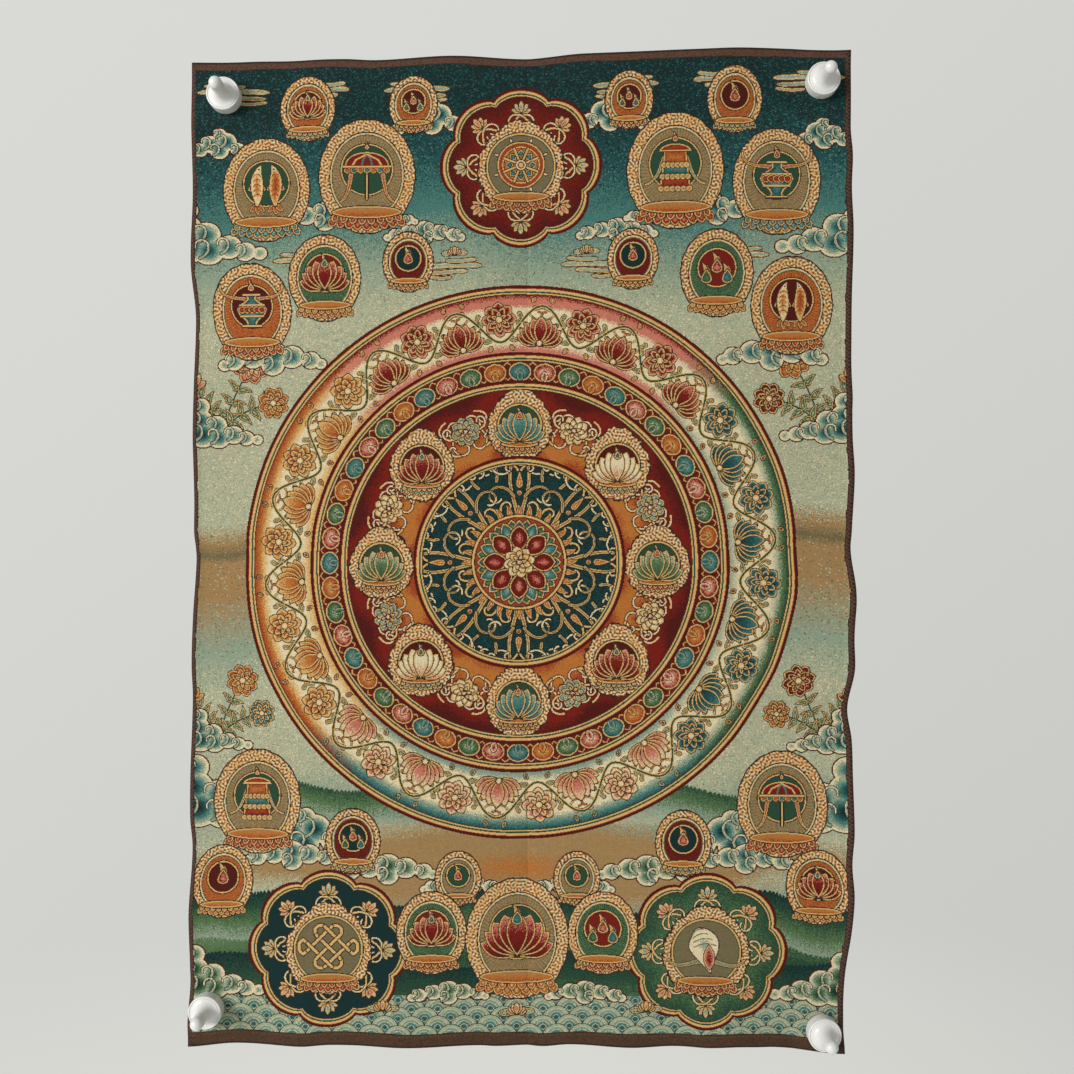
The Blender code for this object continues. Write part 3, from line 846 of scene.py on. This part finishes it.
# the hanging shape, as in the solid: mm from the middle of its top edge on the wall
hung = {
    "corners": ((-300.6, -3.6), (300.6, 8.2), (-304.3, -901.0), (295.2, -908.3)),  # top two, bottom two
    "thick": 1.0,
    "hemThick": 1.8,
    "hemWide": (5.0, 7.0, 12.0),  # sides, top, bottom
    "creases": (5.5, -443.7),  # x of the upright fold line, z of the level one
    "creaseReach": 15.0,
    "creaseKeeps": 0.25,  # share of the lift at a fold line
    "waveReach": 70.0,
    "liftReach": 48.0,
    "liftSpan": (601.2, 897.4),  # sides that the lifts die away over
    "flatRadius": (27.0, 95.0),  # round each pin
    "hemFlatRadius": (30.0, 42.0),
}
edgeWaves = (  # left, right, top, bottom: place, mm out of the line between the corners
    ((-3.6, 0), (-48, 0.6), (-130, -2.2), (-185, -1), (-240, -5.5), (-335, -3.6), (-404, -4.8), (-431, -4.3),
     (-458, -6.8), (-554, -3.4), (-581, -4.6), (-690, -2.2), (-718, -4.3), (-786, -1.3), (-841, -1.8), (-882, 0.8),
     (-901, 0)),
    ((8.2, 0), (-35, 0.4), (-62, 0), (-89, 1.9), (-117, 0.8), (-158, 2.3), (-267, 0.4), (-308, 1.8), (-322, 1.2),
     (-376, 3.6), (-431, 2.6), (-446, 1.9), (-486, 5.2), (-527, 3.4), (-554, 4.4), (-593, -0.6), (-622, 2.4),
     (-704, 3.6), (-732, 2.4), (-760, 3.8), (-854, -1.9), (-882, -1.7), (-908.3, 0)),
    ((-300.6, 0), (-242, -0.3), (-201, -1.4), (-160, -0.9), (-133, -2), (-65, 0), (4, -3), (58, -0.4), (154, 1.6),
     (222, 2.2), (300.6, 0)),
    ((-304.3, 0), (-256, -4.2), (-201, -3.2), (-174, -4.8), (-106, -3.2), (-37, -5.4), (-24, -4.8), (4, -5.6), (17, -5),
     (45, -8), (99, -6.4), (140, -7.9), (168, -7), (195, -8), (222, -6.8), (295.2, 0)),
)
edgeLifts = (  # left, right, top, bottom: place, mm off the wall
    ((-3.6, 1), (-110, 1.5), (-165, 3.5), (-240, 1), (-300, 3), (-350, 4), (-444, 2), (-500, 4.5), (-570, 2.5),
     (-640, 4), (-718, 1.5), (-780, 3.5), (-901, 2.5)),
    ((8.2, 1.5), (-90, 1), (-158, 2.5), (-210, 1.5), (-262, 3.5), (-292, 2), (-322, 4.5), (-352, 2.5), (-384, 5.5),
     (-446, 2), (-500, 9.5), (-545, 8), (-593, 0.5), (-640, 7), (-704, 10.5), (-732, 8.5), (-762, 11), (-840, 4),
     (-908.3, 3.5)),
    ((-300.6, 1), (-240, 1), (-180, 3), (-133, 1.5), (-65, 3.5), (4, 1), (70, 4), (130, 3), (200, 4.5), (300.6, 1.5)),
    ((-304.3, 2.5), (-256, 1), (-201, 3.5), (-150, 2), (-106, 4), (-37, 1.5), (4, 1), (45, 3), (99, 5), (140, 3),
     (195, 5), (250, 2), (295.2, 3.5)),
)
swells = (  # x, z, height, spread x, spread z
    (-165, -215, 4.5, 95, 125), (150, -190, 5, 90, 110), (205, -345, 4, 75, 60), (-190, -560, 4, 85, 75),
    (-120, -735, 4.5, 100, 95), (165, -560, 5.5, 85, 75), (190, -735, 6, 80, 90),
)
smallFolds = (  # the solid has no room for these: from x, z to x, z, height, half-width; troughs are negative
    (-258, -60, -190, -170, 0.5, 12), (-240, -40, -130, -70, 0.45, 10), (262, -50, 196, -150, 0.5, 12),
    (248, -28, 140, -52, 0.4, 9), (-276, -838, -236, -742, 0.5, 11), (-262, -868, -150, -846, 0.45, 10),
    (262, -862, 214, -760, 0.6, 12), (250, -890, 130, -862, 0.5, 10), (300, -498, 226, -486, 0.9, 9),
    (298, -594, 236, -606, -0.9, 9), (298, -700, 232, -690, 0.8, 10), (297, -760, 246, -772, 0.8, 9),
    (-300, -350, -252, -340, 0.5, 10), (-302, -500, -250, -512, 0.5, 10), (-112, -20, -104, -86, 0.5, 9),
    (70, -14, 62, -82, 0.6, 9), (-36, -890, -30, -828, -0.5, 9), (45, -894, 50, -830, 0.6, 9),
    (168, -896, 160, -840, 0.6, 9), (-201, -892, -196, -836, 0.5, 9), (-60, -150, 40, -300, 0.35, 16),
    (90, -620, 30, -760, 0.35, 16), (-90, -560, -30, -690, 0.3, 15),
)


def smoothStep(low, high, value):
    # 0 below low, 1 above high, 3t^2 - 2t^3 between
    t = np.clip((value - low) / (high - low), 0, 1)
    return t * t * (3 - 2 * t)


def eased(table, place):
    # the table's value at a place, eased from row to row
    at, value = np.array(sorted(table)).T
    k = np.clip(np.searchsorted(at, place) - 1, 0, len(at) - 2)
    return value[k] + (value[k + 1] - value[k]) * smoothStep(at[k], at[k + 1], place)


def fromEdges(tables, reach, u, v, x, z, spanX, spanZ):
    # what each edge adds at a place, which dies away inwards as exp(-distance / reach)
    ways = ((u, spanX, z), (1 - u, spanX, z), (v, spanZ, x), (1 - v, spanZ, x))
    return [np.exp(-share * span / reach) * eased(table, along) for table, (share, span, along) in zip(tables, ways)]


def panelPoint(u, v):
    # a four-cornered sheet on the wall, its edges bowed by their waves
    (ax, az), (bx, bz), (cx, cz), (dx, dz) = hung["corners"]
    left, right = ax + (cx - ax) * v, bx + (dx - bx) * v
    top, bottom = az + (bz - az) * u, cz + (dz - cz) * u
    x, z = left + (right - left) * u, top + (bottom - top) * v
    west, east, north, south = fromEdges(edgeWaves, hung["waveReach"], u, v, x, z, right - left, top - bottom)
    return x - west + east, z + north - south


def nearPin(x, z):
    # distance to the nearest pin
    return np.min([np.hypot(x - px, z - pz) for px, pz in pins["places"].values()], axis=0)


def liftOffWall(u, v):
    # edge lifts, bell-shaped swells and small folds, drawn in along the fold lines and round the pins
    x, z = panelPoint(u, v)
    west, east, north, south = fromEdges(edgeLifts, hung["liftReach"], u, v, x, z, *hung["liftSpan"])
    lift = west + east + (north + south)
    for sx, sz, height, spreadX, spreadZ in swells:
        lift += height * np.exp(-0.5 * (((x - sx) / spreadX) ** 2 + ((z - sz) / spreadZ) ** 2))
    for gap in (np.abs(x - hung["creases"][0]), np.abs(z - hung["creases"][1])):
        lift *= 1 - (1 - hung["creaseKeeps"]) * np.exp(-gap / hung["creaseReach"])
    for fx, fz, gx, gz, height, half in smallFolds:
        ex, ez = gx - fx, gz - fz
        t = ((x - fx) * ex + (z - fz) * ez) / (ex * ex + ez * ez)
        gap = np.abs((x - fx) * ez - (z - fz) * ex) / math.hypot(ex, ez)
        lift += height * np.exp(-((gap / half) ** 2)) * smoothStep(-0.35, 0.25, t) * smoothStep(1.35, 0.6, t)
    return np.maximum(lift, 0) * smoothStep(*hung["flatRadius"], nearPin(x, z))


wrongSide = {
    "dull": {"cream": "tan", "gold": "olive", "sage": "tan", "mist": "olive", "red": "rust", "lagoon": "teal"},
    "floats": "olive tan rust teal gold brown",  # loose threads over the picture
    "float": 12,  # cells
    "seed": 5,
    "kept": 0.42,  # share of the cells with a loose thread
}


def backOf(front):
    # the wrong side: cells held over runs of nine, dulled, with long loose floats in seeded runs over them
    swap = numbers(wrongSide["dull"].get(name, name) for name in threadNames)
    loose = numbers(wrongSide["floats"].split())
    r, c = np.indices(front.shape)
    back = swap[front[r, np.minimum((c // 9) * 9 + (r // 2 * 5) % 9, columns - 1)]]
    runs = np.random.default_rng(wrongSide["seed"]).integers(0, len(loose), (rows, columns // wrongSide["float"] + 2))
    pick = runs[r, (c + r * 5) // wrongSide["float"] % runs.shape[1]]
    return np.where(speckle > wrongSide["kept"], back, loose[pick])


threadBase = float(len(threadNames))


def packThreads(woven):
    # each quad's rows of threads as one number each, a digit a thread, three rows to a vector
    (nx, ny), (cx, cy) = cloth["quads"], cloth["cells"]
    blocks = woven.reshape(ny, cy, nx, cx).transpose(0, 2, 1, 3).astype(np.float64)
    return (blocks * threadBase ** np.arange(cx)).sum(3).reshape(ny * nx, cy)


def newPiece(name, verts, faces, sharp):
    # a mesh of mm points as an object at the origin, smooth but for its last faces
    mesh = bpy.data.meshes.new(name)
    mesh.from_pydata((verts * mm).tolist(), [], faces)
    mesh.polygons.foreach_set("use_smooth", np.arange(len(faces)) < len(faces) - sharp)
    mesh.update()
    piece = bpy.data.objects.new(name, mesh)
    bpy.context.scene.collection.objects.link(piece)
    return piece, mesh


clothMap = {  # starts and widths
    "front": (0.001, 0.658), "back": (0.999, -0.324), "run": (0.0005, 0.999), "strips": (0.6615, 0.003, 0.002),
}


def makeCloth():
    # front and back grids on the hanging shape, a thickness apart, closed by a rim that runs once round
    nx, ny = cloth["quads"]
    u, v = np.meshgrid(np.arange(nx + 1) / nx, np.arange(ny + 1) / ny)
    x, z = panelPoint(u, v)
    lift = liftOffWall(u, v)
    side, topEnd, bottomEnd = hung["hemWide"]
    onHem = (np.minimum(u, 1 - u) * wide < side) | (v * high < topEnd) | ((1 - v) * high < bottomEnd)
    onHem = onHem * smoothStep(*hung["hemFlatRadius"], nearPin(x, z))
    thick = hung["thick"] + (hung["hemThick"] - hung["thick"]) * onHem
    verts = np.concatenate([np.stack((x, -level, z), -1).reshape(-1, 3) for level in (lift + thick, lift)])
    at = np.arange(u.size).reshape(u.shape)
    a, b, c, d = (part.ravel() for part in (at[:-1, :-1], at[:-1, 1:], at[1:, 1:], at[1:, :-1]))
    ring = np.concatenate((at[0, :-1], at[:-1, -1], at[-1, :0:-1], at[:0:-1, 0]))
    after = np.roll(ring, -1)
    rim = np.stack((ring, after, after + at.size, ring + at.size), 1)
    quads = np.concatenate((np.stack((a, d, c, b), 1), np.stack((a, b, c, d), 1) + at.size, rim))
    piece, mesh = newPiece("wovenCloth", verts, quads.tolist(), len(rim))
    # the front fills two thirds of the map and the back the rest, with the rim in strips between
    low, span = clothMap["run"]
    sides = [start + share * u.ravel() for start, share in (clothMap["front"], clothMap["back"])]
    corners = np.stack((np.concatenate(sides), np.tile(low + span * (1 - v.ravel()), 2)), 1)[quads]
    rimAt, (strip, step, across) = 2 * nx * ny, clothMap["strips"]
    for count in (nx, ny, nx, ny):
        run = low + span * np.arange(count + 1) / count
        corners[rimAt:rimAt + count, :, 0] = (strip, strip, strip + across, strip + across)
        corners[rimAt:rimAt + count, :, 1] = np.stack((run[:-1], run[1:], run[1:], run[:-1]), 1)
        rimAt, strip = rimAt + count, strip + step
    mesh.uv_layers.new(name="clothMap").data.foreach_set("uv", corners.ravel())
    cell = np.stack((u.ravel() * columns, v.ravel() * rows, np.zeros(u.size)), 1)
    mesh.attributes.new("cellAt", "FLOAT_VECTOR", "POINT").data.foreach_set("vector", np.tile(cell, (2, 1)).ravel())
    bark = packThreads(np.full_like(draft, threadNames.index("bark")))[:len(rim)]
    threads = np.concatenate((packThreads(draft), packThreads(backOf(draft)), bark))
    for name, part in (("threadsA", threads[:, :3]), ("threadsB", threads[:, 3:])):
        mesh.attributes.new(name, "FLOAT_VECTOR", "FACE").data.foreach_set("vector", part.ravel())
    return piece


# materials
def kitOf(tree):
    # functions that work in one node tree
    def plug(node, inputs):
        # gives each input a link or a value
        for key, value in inputs.items():
            if isinstance(value, bpy.types.NodeSocket):
                tree.links.new(value, node.inputs[key])
            else:
                node.inputs[key].default_value = value

    def add(kind, inputs=None, **settings):
        # makes a node and hands back its outputs
        made = tree.nodes.new("ShaderNode" + kind)
        for key, value in settings.items():
            setattr(made, key, value)
        plug(made, inputs or {})
        return made.outputs

    def calc(operation, *values):
        # one step of arithmetic
        return add("Math", dict(enumerate(values)), operation=operation)[0]

    def noise(where, scale, detail=2.0, rough=0.5):
        # cloudy noise from 0 to 1
        return add("TexNoise", {"Vector": where, "Scale": scale, "Detail": detail, "Roughness": rough})["Fac"]

    return plug, add, calc, noise


def newMaterial(name):
    mat = bpy.data.materials.new(name)
    mat.use_nodes = True
    kit = kitOf(mat.node_tree)
    return mat, mat.node_tree.nodes["Principled BSDF"], kit[1]("TexCoord")["Object"], kit


def linear(level):
    # the light behind a screen value from 0 to 255: ((s + 0.055) / 1.055)^2.4, straight below 0.04
    s = level / 255
    return s / 12.92 if s <= 0.04045 else ((s + 0.055) / 1.055) ** 2.4


weave = {
    "strength": 0.97,  # of the colours, on top of the light
    "tints": ((0.20, 1.0, 1.0, 0.5), (0.10, 7.0, 1.0, 3.5), (0.16, 2.0, 2.0, 6.5)),  # amount, cells across, down, seed
    "age": (7.0, 0.10),  # scale, amount
    "crown": (0.35, 0.65, 0.22, 0.86),  # share of a thread's ends and of its round, painted highlight on its round, painted shade between threads
    "shine": {"gold": 1.0, "cream": 0.7, "amber": 0.45, "rose": 0.3, "sage": 0.25, "mist": 0.2},
    "threadDepth": 0.12,  # mm
    "proud": 0.10,  # mm that shiny threads stand up
    "pucker": (0.35, 85.0),  # mm, scale
    "creaseDepth": 0.45,  # mm
    "creaseHalf": (1.6, 2.2),  # mm, upright and level
    "creaseWander": (16.0, 0.004),  # scale, m
    "roughness": (0.82, 0.52),  # plain threads, gold threads
    "surface": {"Specular IOR Level": 0.14, "Sheen Weight": 0.04, "Sheen Roughness": 0.5,
                "Sheen Tint": (0.9, 0.88, 0.8, 1)},
}


def clothMaterial():
    # a face's packed numbers give each thread's colour; its place gives the tints, a painted highlight on each thread's
    # round with painted shade between threads, the shine and the relief in metres
    mat, surface, where, (plug, add, calc, noise) = newMaterial("wovenBrocade")
    column, row, _ = add("SeparateXYZ", {0: add("Attribute", attribute_name="cellAt")["Vector"]})
    # the thread's column and row in its quad, and the digit kept for it
    localColumn, localRow = (calc("MODULO", calc("FLOOR", line), float(count))
                             for line, count in zip((column, row), cloth["cells"]))
    rowNumber, digitPlace = 0.5, 0.0
    held = [add("Attribute", attribute_name=name)["Vector"] for name in ("threadsA", "threadsB")]
    for k, socket in enumerate([part for vector in held for part in add("SeparateXYZ", {0: vector})]):
        rowNumber = calc("MULTIPLY_ADD", calc("COMPARE", localRow, float(k), 0.5), socket, rowNumber)
    for k in range(cloth["cells"][0]):
        digitPlace = calc("MULTIPLY_ADD", calc("COMPARE", localColumn, float(k), 0.5), threadBase ** k, digitPlace)
    digit = calc("FLOOR", calc("MODULO", calc("DIVIDE", rowNumber, digitPlace), threadBase))
    shelf = add("ValToRGB", {0: calc("MULTIPLY_ADD", digit, 1 / threadBase, 0.5 / threadBase)})
    shine, ramp = shelf["Alpha"], shelf[0].node.color_ramp
    ramp.interpolation = "CONSTANT"
    for k in range(1, len(threadNames) - 1):
        ramp.elements.new(k / threadBase)
    ramp.elements[-1].position = (threadBase - 1) / threadBase
    for stop, (name, colour) in zip(ramp.elements, threadColours.items()):
        stop.color = (*(min(linear(c) * weave["strength"], 1) for c in colour), weave["shine"].get(name, 0.0))
    tintAndThreadShade = 1 - sum(amount for amount, *_ in weave["tints"]) / 2
    for amount, across, down, seed in weave["tints"]:
        cells = [calc("FLOOR", calc("DIVIDE", line, size)) for line, size in ((column, across), (row, down))]
        spot = add("CombineXYZ", {0: cells[0], 1: cells[1], 2: seed})[0]
        chance = add("TexWhiteNoise", {"Vector": spot}, noise_dimensions="3D")["Value"]
        tintAndThreadShade = calc("MULTIPLY_ADD", chance, amount, tintAndThreadShade)
    ends, crown = (calc("SINE", calc("MULTIPLY", calc("FRACT", line), math.pi)) for line in (column, row))
    endShare, crownShare, crownHighlight, gapShade = weave["crown"]
    thread = calc("MULTIPLY_ADD", ends, endShare, calc("MULTIPLY", crown, crownShare))
    # painted shade between threads and a painted highlight on each thread's round, multiplied into the colour
    tintAndThreadShade = calc("MULTIPLY", tintAndThreadShade, calc("MULTIPLY_ADD", thread, crownHighlight, gapShade))
    scale, amount = weave["age"]
    tintAndThreadShade = calc("MULTIPLY", tintAndThreadShade, calc("MULTIPLY_ADD", noise(where, scale, 3.0), amount, 1 - amount / 2))
    pucker, puckerScale = weave["pucker"]
    height = calc("MULTIPLY", thread, weave["threadDepth"] * mm)
    height = calc("MULTIPLY_ADD", shine, weave["proud"] * mm, height)
    height = calc("MULTIPLY_ADD", noise(where, puckerScale, 2.0, 0.6), pucker * mm, height)
    scale, amount = weave["creaseWander"]
    wander = calc("MULTIPLY_ADD", noise(where, scale), amount, -amount / 2)
    x, _, z = add("SeparateXYZ", {0: where})
    for socket, line, half in zip((x, z), hung["creases"], weave["creaseHalf"]):
        gap = calc("ABSOLUTE", calc("ADD", calc("SUBTRACT", socket, line * mm), wander))
        dip = calc("EXPONENT", calc("MULTIPLY", gap, -1 / (half * mm)))
        height = calc("MULTIPLY_ADD", dip, -weave["creaseDepth"] * mm, height)
    rough, gloss = weave["roughness"]
    plug(surface, {
        "Base Color": add("VectorMath", {0: shelf["Color"], "Scale": tintAndThreadShade}, operation="SCALE")[0],
        "Roughness": calc("MULTIPLY_ADD", shine, gloss - rough, rough),
        "Normal": add("Bump", {"Height": height, "Strength": 1.0, "Distance": 1.0})[0], **weave["surface"]})
    return mat


pins = {  # mm
    "places": {"TopLeft": (-269.7, -35.5), "TopRight": (273.3, -21.9), "BottomLeft": (-286.1, -865.9),
               "BottomRight": (274.2, -886.4)},
    "foot": (15.0, 11.5),  # radius, thickness
    "rim": 1.1,
    "groove": (12.5, 13.9, 0.7),  # from, to, depth, inside the rim
    "heel": 0.8,
    "peg": (5.8, 38.5),  # radius, full length
    "flare": (12.5, 23.0),  # radius where it starts, height where it ends
    "behind": 1.3,  # from the wall to the foot
    "steps": 64,
    "tones": ((0.70, 0.70, 0.69, 1), (0.75, 0.75, 0.735, 1)),
    "roughness": (0.26, 0.12),  # least, more where it is cloudy
    "surface": {"Specular IOR Level": 0.5, "Subsurface Weight": 0.08, "Subsurface Radius": (0.004, 0.004, 0.004)},
}


def pinProfile():
    # a dome, a straight peg, a quarter-oval flare, a groove, a rounded rim and a small heel, from the tip down
    r, length = pins["peg"]
    footR, footT = pins["foot"]
    flareR, flareTop = pins["flare"]
    grooveAt, grooveEnd, deep = pins["groove"]
    rim, heel = pins["rim"], pins["heel"]
    q, t = np.linspace(0, up, 13), np.linspace(0, 1, 9)[1:-1]
    parts = (
        (r * np.sin(q), length - r + r * np.cos(q)),
        (flareR - (flareR - r) * np.cos(q), flareTop - (flareTop - footT) * np.sin(q)),
        (grooveAt + (grooveEnd - grooveAt) * t, footT - deep * np.sin(math.pi * t) ** 2),
        (footR - rim * (1 - np.sin(q)), footT - rim * (1 - np.cos(q))),
        (footR - heel * (1 - np.cos(q[::3])), heel * (1 - np.sin(q[::3]))),
        ([0.0], [0.0]),
    )
    return np.concatenate([np.stack(part, 1) for part in parts])


def makePin(label, place):
    # the profile turned about the pin's own line, which points out of the wall
    profile, n, behind = pinProfile(), pins["steps"], pins["behind"]
    turn = np.arange(n) * math.tau / n
    r, h = profile[1:-1, 0][:, None], profile[1:-1, 1][:, None]
    verts = np.stack((place[0] + r * np.cos(turn), -behind - h + 0 * turn, place[1] + r * np.sin(turn)), -1)
    tips = [(place[0], -behind - level, place[1]) for level in (profile[0, 1], 0)]
    at = np.arange(len(r) * n).reshape(len(r), n)
    faces = np.stack((at[:-1], at[1:], np.roll(at[1:], -1, 1), np.roll(at[:-1], -1, 1)), -1).reshape(-1, 4).tolist()
    faces += [[at.size, at[0, k], at[0, (k + 1) % n]] for k in range(n)]
    faces += [[at.size + 1, at[-1, (k + 1) % n], at[-1, k]] for k in range(n)]
    return newPiece("pin" + label, np.concatenate((verts.reshape(-1, 3), tips)), faces, n)[0]


def pinMaterial():
    # white plastic, a little cloudy, with a fine skin
    mat, surface, where, (plug, add, calc, noise) = newMaterial("whitePlastic")
    cloudy, (least, more) = noise(where, 60.0, 3.0), pins["roughness"]
    plug(surface, {
        "Base Color": add("Mix", {0: cloudy, 6: pins["tones"][0], 7: pins["tones"][1]}, data_type="RGBA")[2],
        "Roughness": calc("MULTIPLY_ADD", cloudy, more, least),
        "Normal": add("Bump", {"Height": noise(where, 900.0), "Strength": 0.25, "Distance": 0.00008})[0],
        **pins["surface"]})
    return mat


studio = {  # metres
    "wallTone": (209, 210, 206),
    "paintedWallShade": (-0.10, 0.12, 1.005),  # painted shade, darker away from the window: to the right, upwards, at the middle
    "fill": 0.62,  # of the wall tone
    "floor": (6.0, -1.6, 64),  # radius, level, corners
    "floorGlow": 1.34,  # of the wall tone
    "floorFades": (0.6, 2.7),
    "lamps": {"window": ((-3.1, -3.0, 0.3), 1.5, 165), "backWindow": ((1.2, 7.2, 1.6), 2.6, 280)},  # place, size, power
    "lampTone": (1.0, 0.985, 0.96),
    "lampsAim": (0, 0, -0.45),
    "cameraAt": (0.0141, -0.98, -0.4362),
    "viewAngle": 53.2,
}


def makeRoom(scene, tone):
    # the camera sees a pale wall tone with painted shade that darkens it to the right and down, away from the window;
    # the fill light is softer than that
    world = bpy.data.worlds.new("paleRoom")
    world.use_nodes = True
    plug, add, calc, _ = kitOf(world.node_tree)
    across, _, upward = add("SeparateXYZ", {0: add("TexCoord")["Generated"]})
    fadeAcross, fadeUp, middle = studio["paintedWallShade"]
    level = calc("MULTIPLY_ADD", across, fadeAcross, calc("MULTIPLY_ADD", upward, fadeUp, middle))
    strength = add("Mix", {0: add("LightPath")["Is Camera Ray"], 2: studio["fill"], 3: level})[0]
    plug(world.node_tree.nodes["Background"], {"Color": (*tone, 1), "Strength": strength})
    scene.world = world


def makeFloor(scene, tone):
    # a round floor that fades into the room
    radius, level, n = studio["floor"]
    a = np.arange(n) * math.tau / n
    mesh = bpy.data.meshes.new("floor")
    verts = np.stack((radius * np.cos(a), radius * np.sin(a), np.full(n, level)), 1)
    mesh.from_pydata(verts.tolist(), [], [list(range(n))])
    floor = bpy.data.objects.new("floor", mesh)
    scene.collection.objects.link(floor)
    mat, surface, where, (plug, add, _, _) = newMaterial("paleFloor")
    flat = add("VectorMath", {0: where, 1: (1, 1, 0)}, operation="MULTIPLY")[0]
    away = add("VectorMath", {0: flat}, operation="LENGTH")["Value"]
    near, far = studio["floorFades"]
    fade = add("MapRange", {0: away, 1: near, 2: far, 3: 1.0, 4: 0.0}, interpolation_type="SMOOTHSTEP")[0]
    pale = (*(c * studio["floorGlow"] for c in tone), 1)
    plug(surface, {"Alpha": fade, "Base Color": pale, "Roughness": 0.9})
    mesh.materials.append(mat)


def makeStudio():
    # a pale room with a soft window in front, a weaker one behind, and the camera
    scene = bpy.context.scene
    scene.view_settings.view_transform = "Standard"
    tone = tuple(linear(c) for c in studio["wallTone"])
    makeRoom(scene, tone)
    makeFloor(scene, tone)
    for name, (place, size, power) in studio["lamps"].items():
        lamp = bpy.data.lights.new(name, "AREA")
        lamp.size, lamp.energy, lamp.color = size, power, studio["lampTone"]
        window = bpy.data.objects.new(name, lamp)
        window.location = place
        window.rotation_euler = (Vector(studio["lampsAim"]) - window.location).to_track_quat("-Z", "Y").to_euler()
        scene.collection.objects.link(window)
    lens = bpy.data.cameras.new("camera")
    lens.sensor_width = 36
    lens.lens = lens.sensor_width / 2 / math.tan(math.radians(studio["viewAngle"] / 2))
    lens.clip_start = 0.01
    camera = bpy.data.objects.new("camera", lens)
    camera.location = studio["cameraAt"]
    camera.rotation_euler = (up, 0, 0)
    scene.collection.objects.link(camera)
    scene.camera = camera


picture()
hems()
print("draft woven:", draft.shape)
wovenCloth = makeCloth()
wovenCloth.data.materials.append(clothMaterial())
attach(wovenCloth, "root")
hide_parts("cloth_panel")
print("cloth hung:", len(wovenCloth.data.polygons), "quads")
plastic = pinMaterial()
pinNodes = {"TopLeft": "push_pin_top_left", "TopRight": "push_pin_top_right", "BottomLeft": "push_pin_bottom_left",
            "BottomRight": "push_pin_bottom_right"}
for label, place in pins["places"].items():
    pin = makePin(label, place)
    pin.data.materials.append(plastic)
    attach(pin, "root")
    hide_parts(pinNodes[label])
print("pins set:", len(pinNodes))
makeStudio()
print("studio lit")
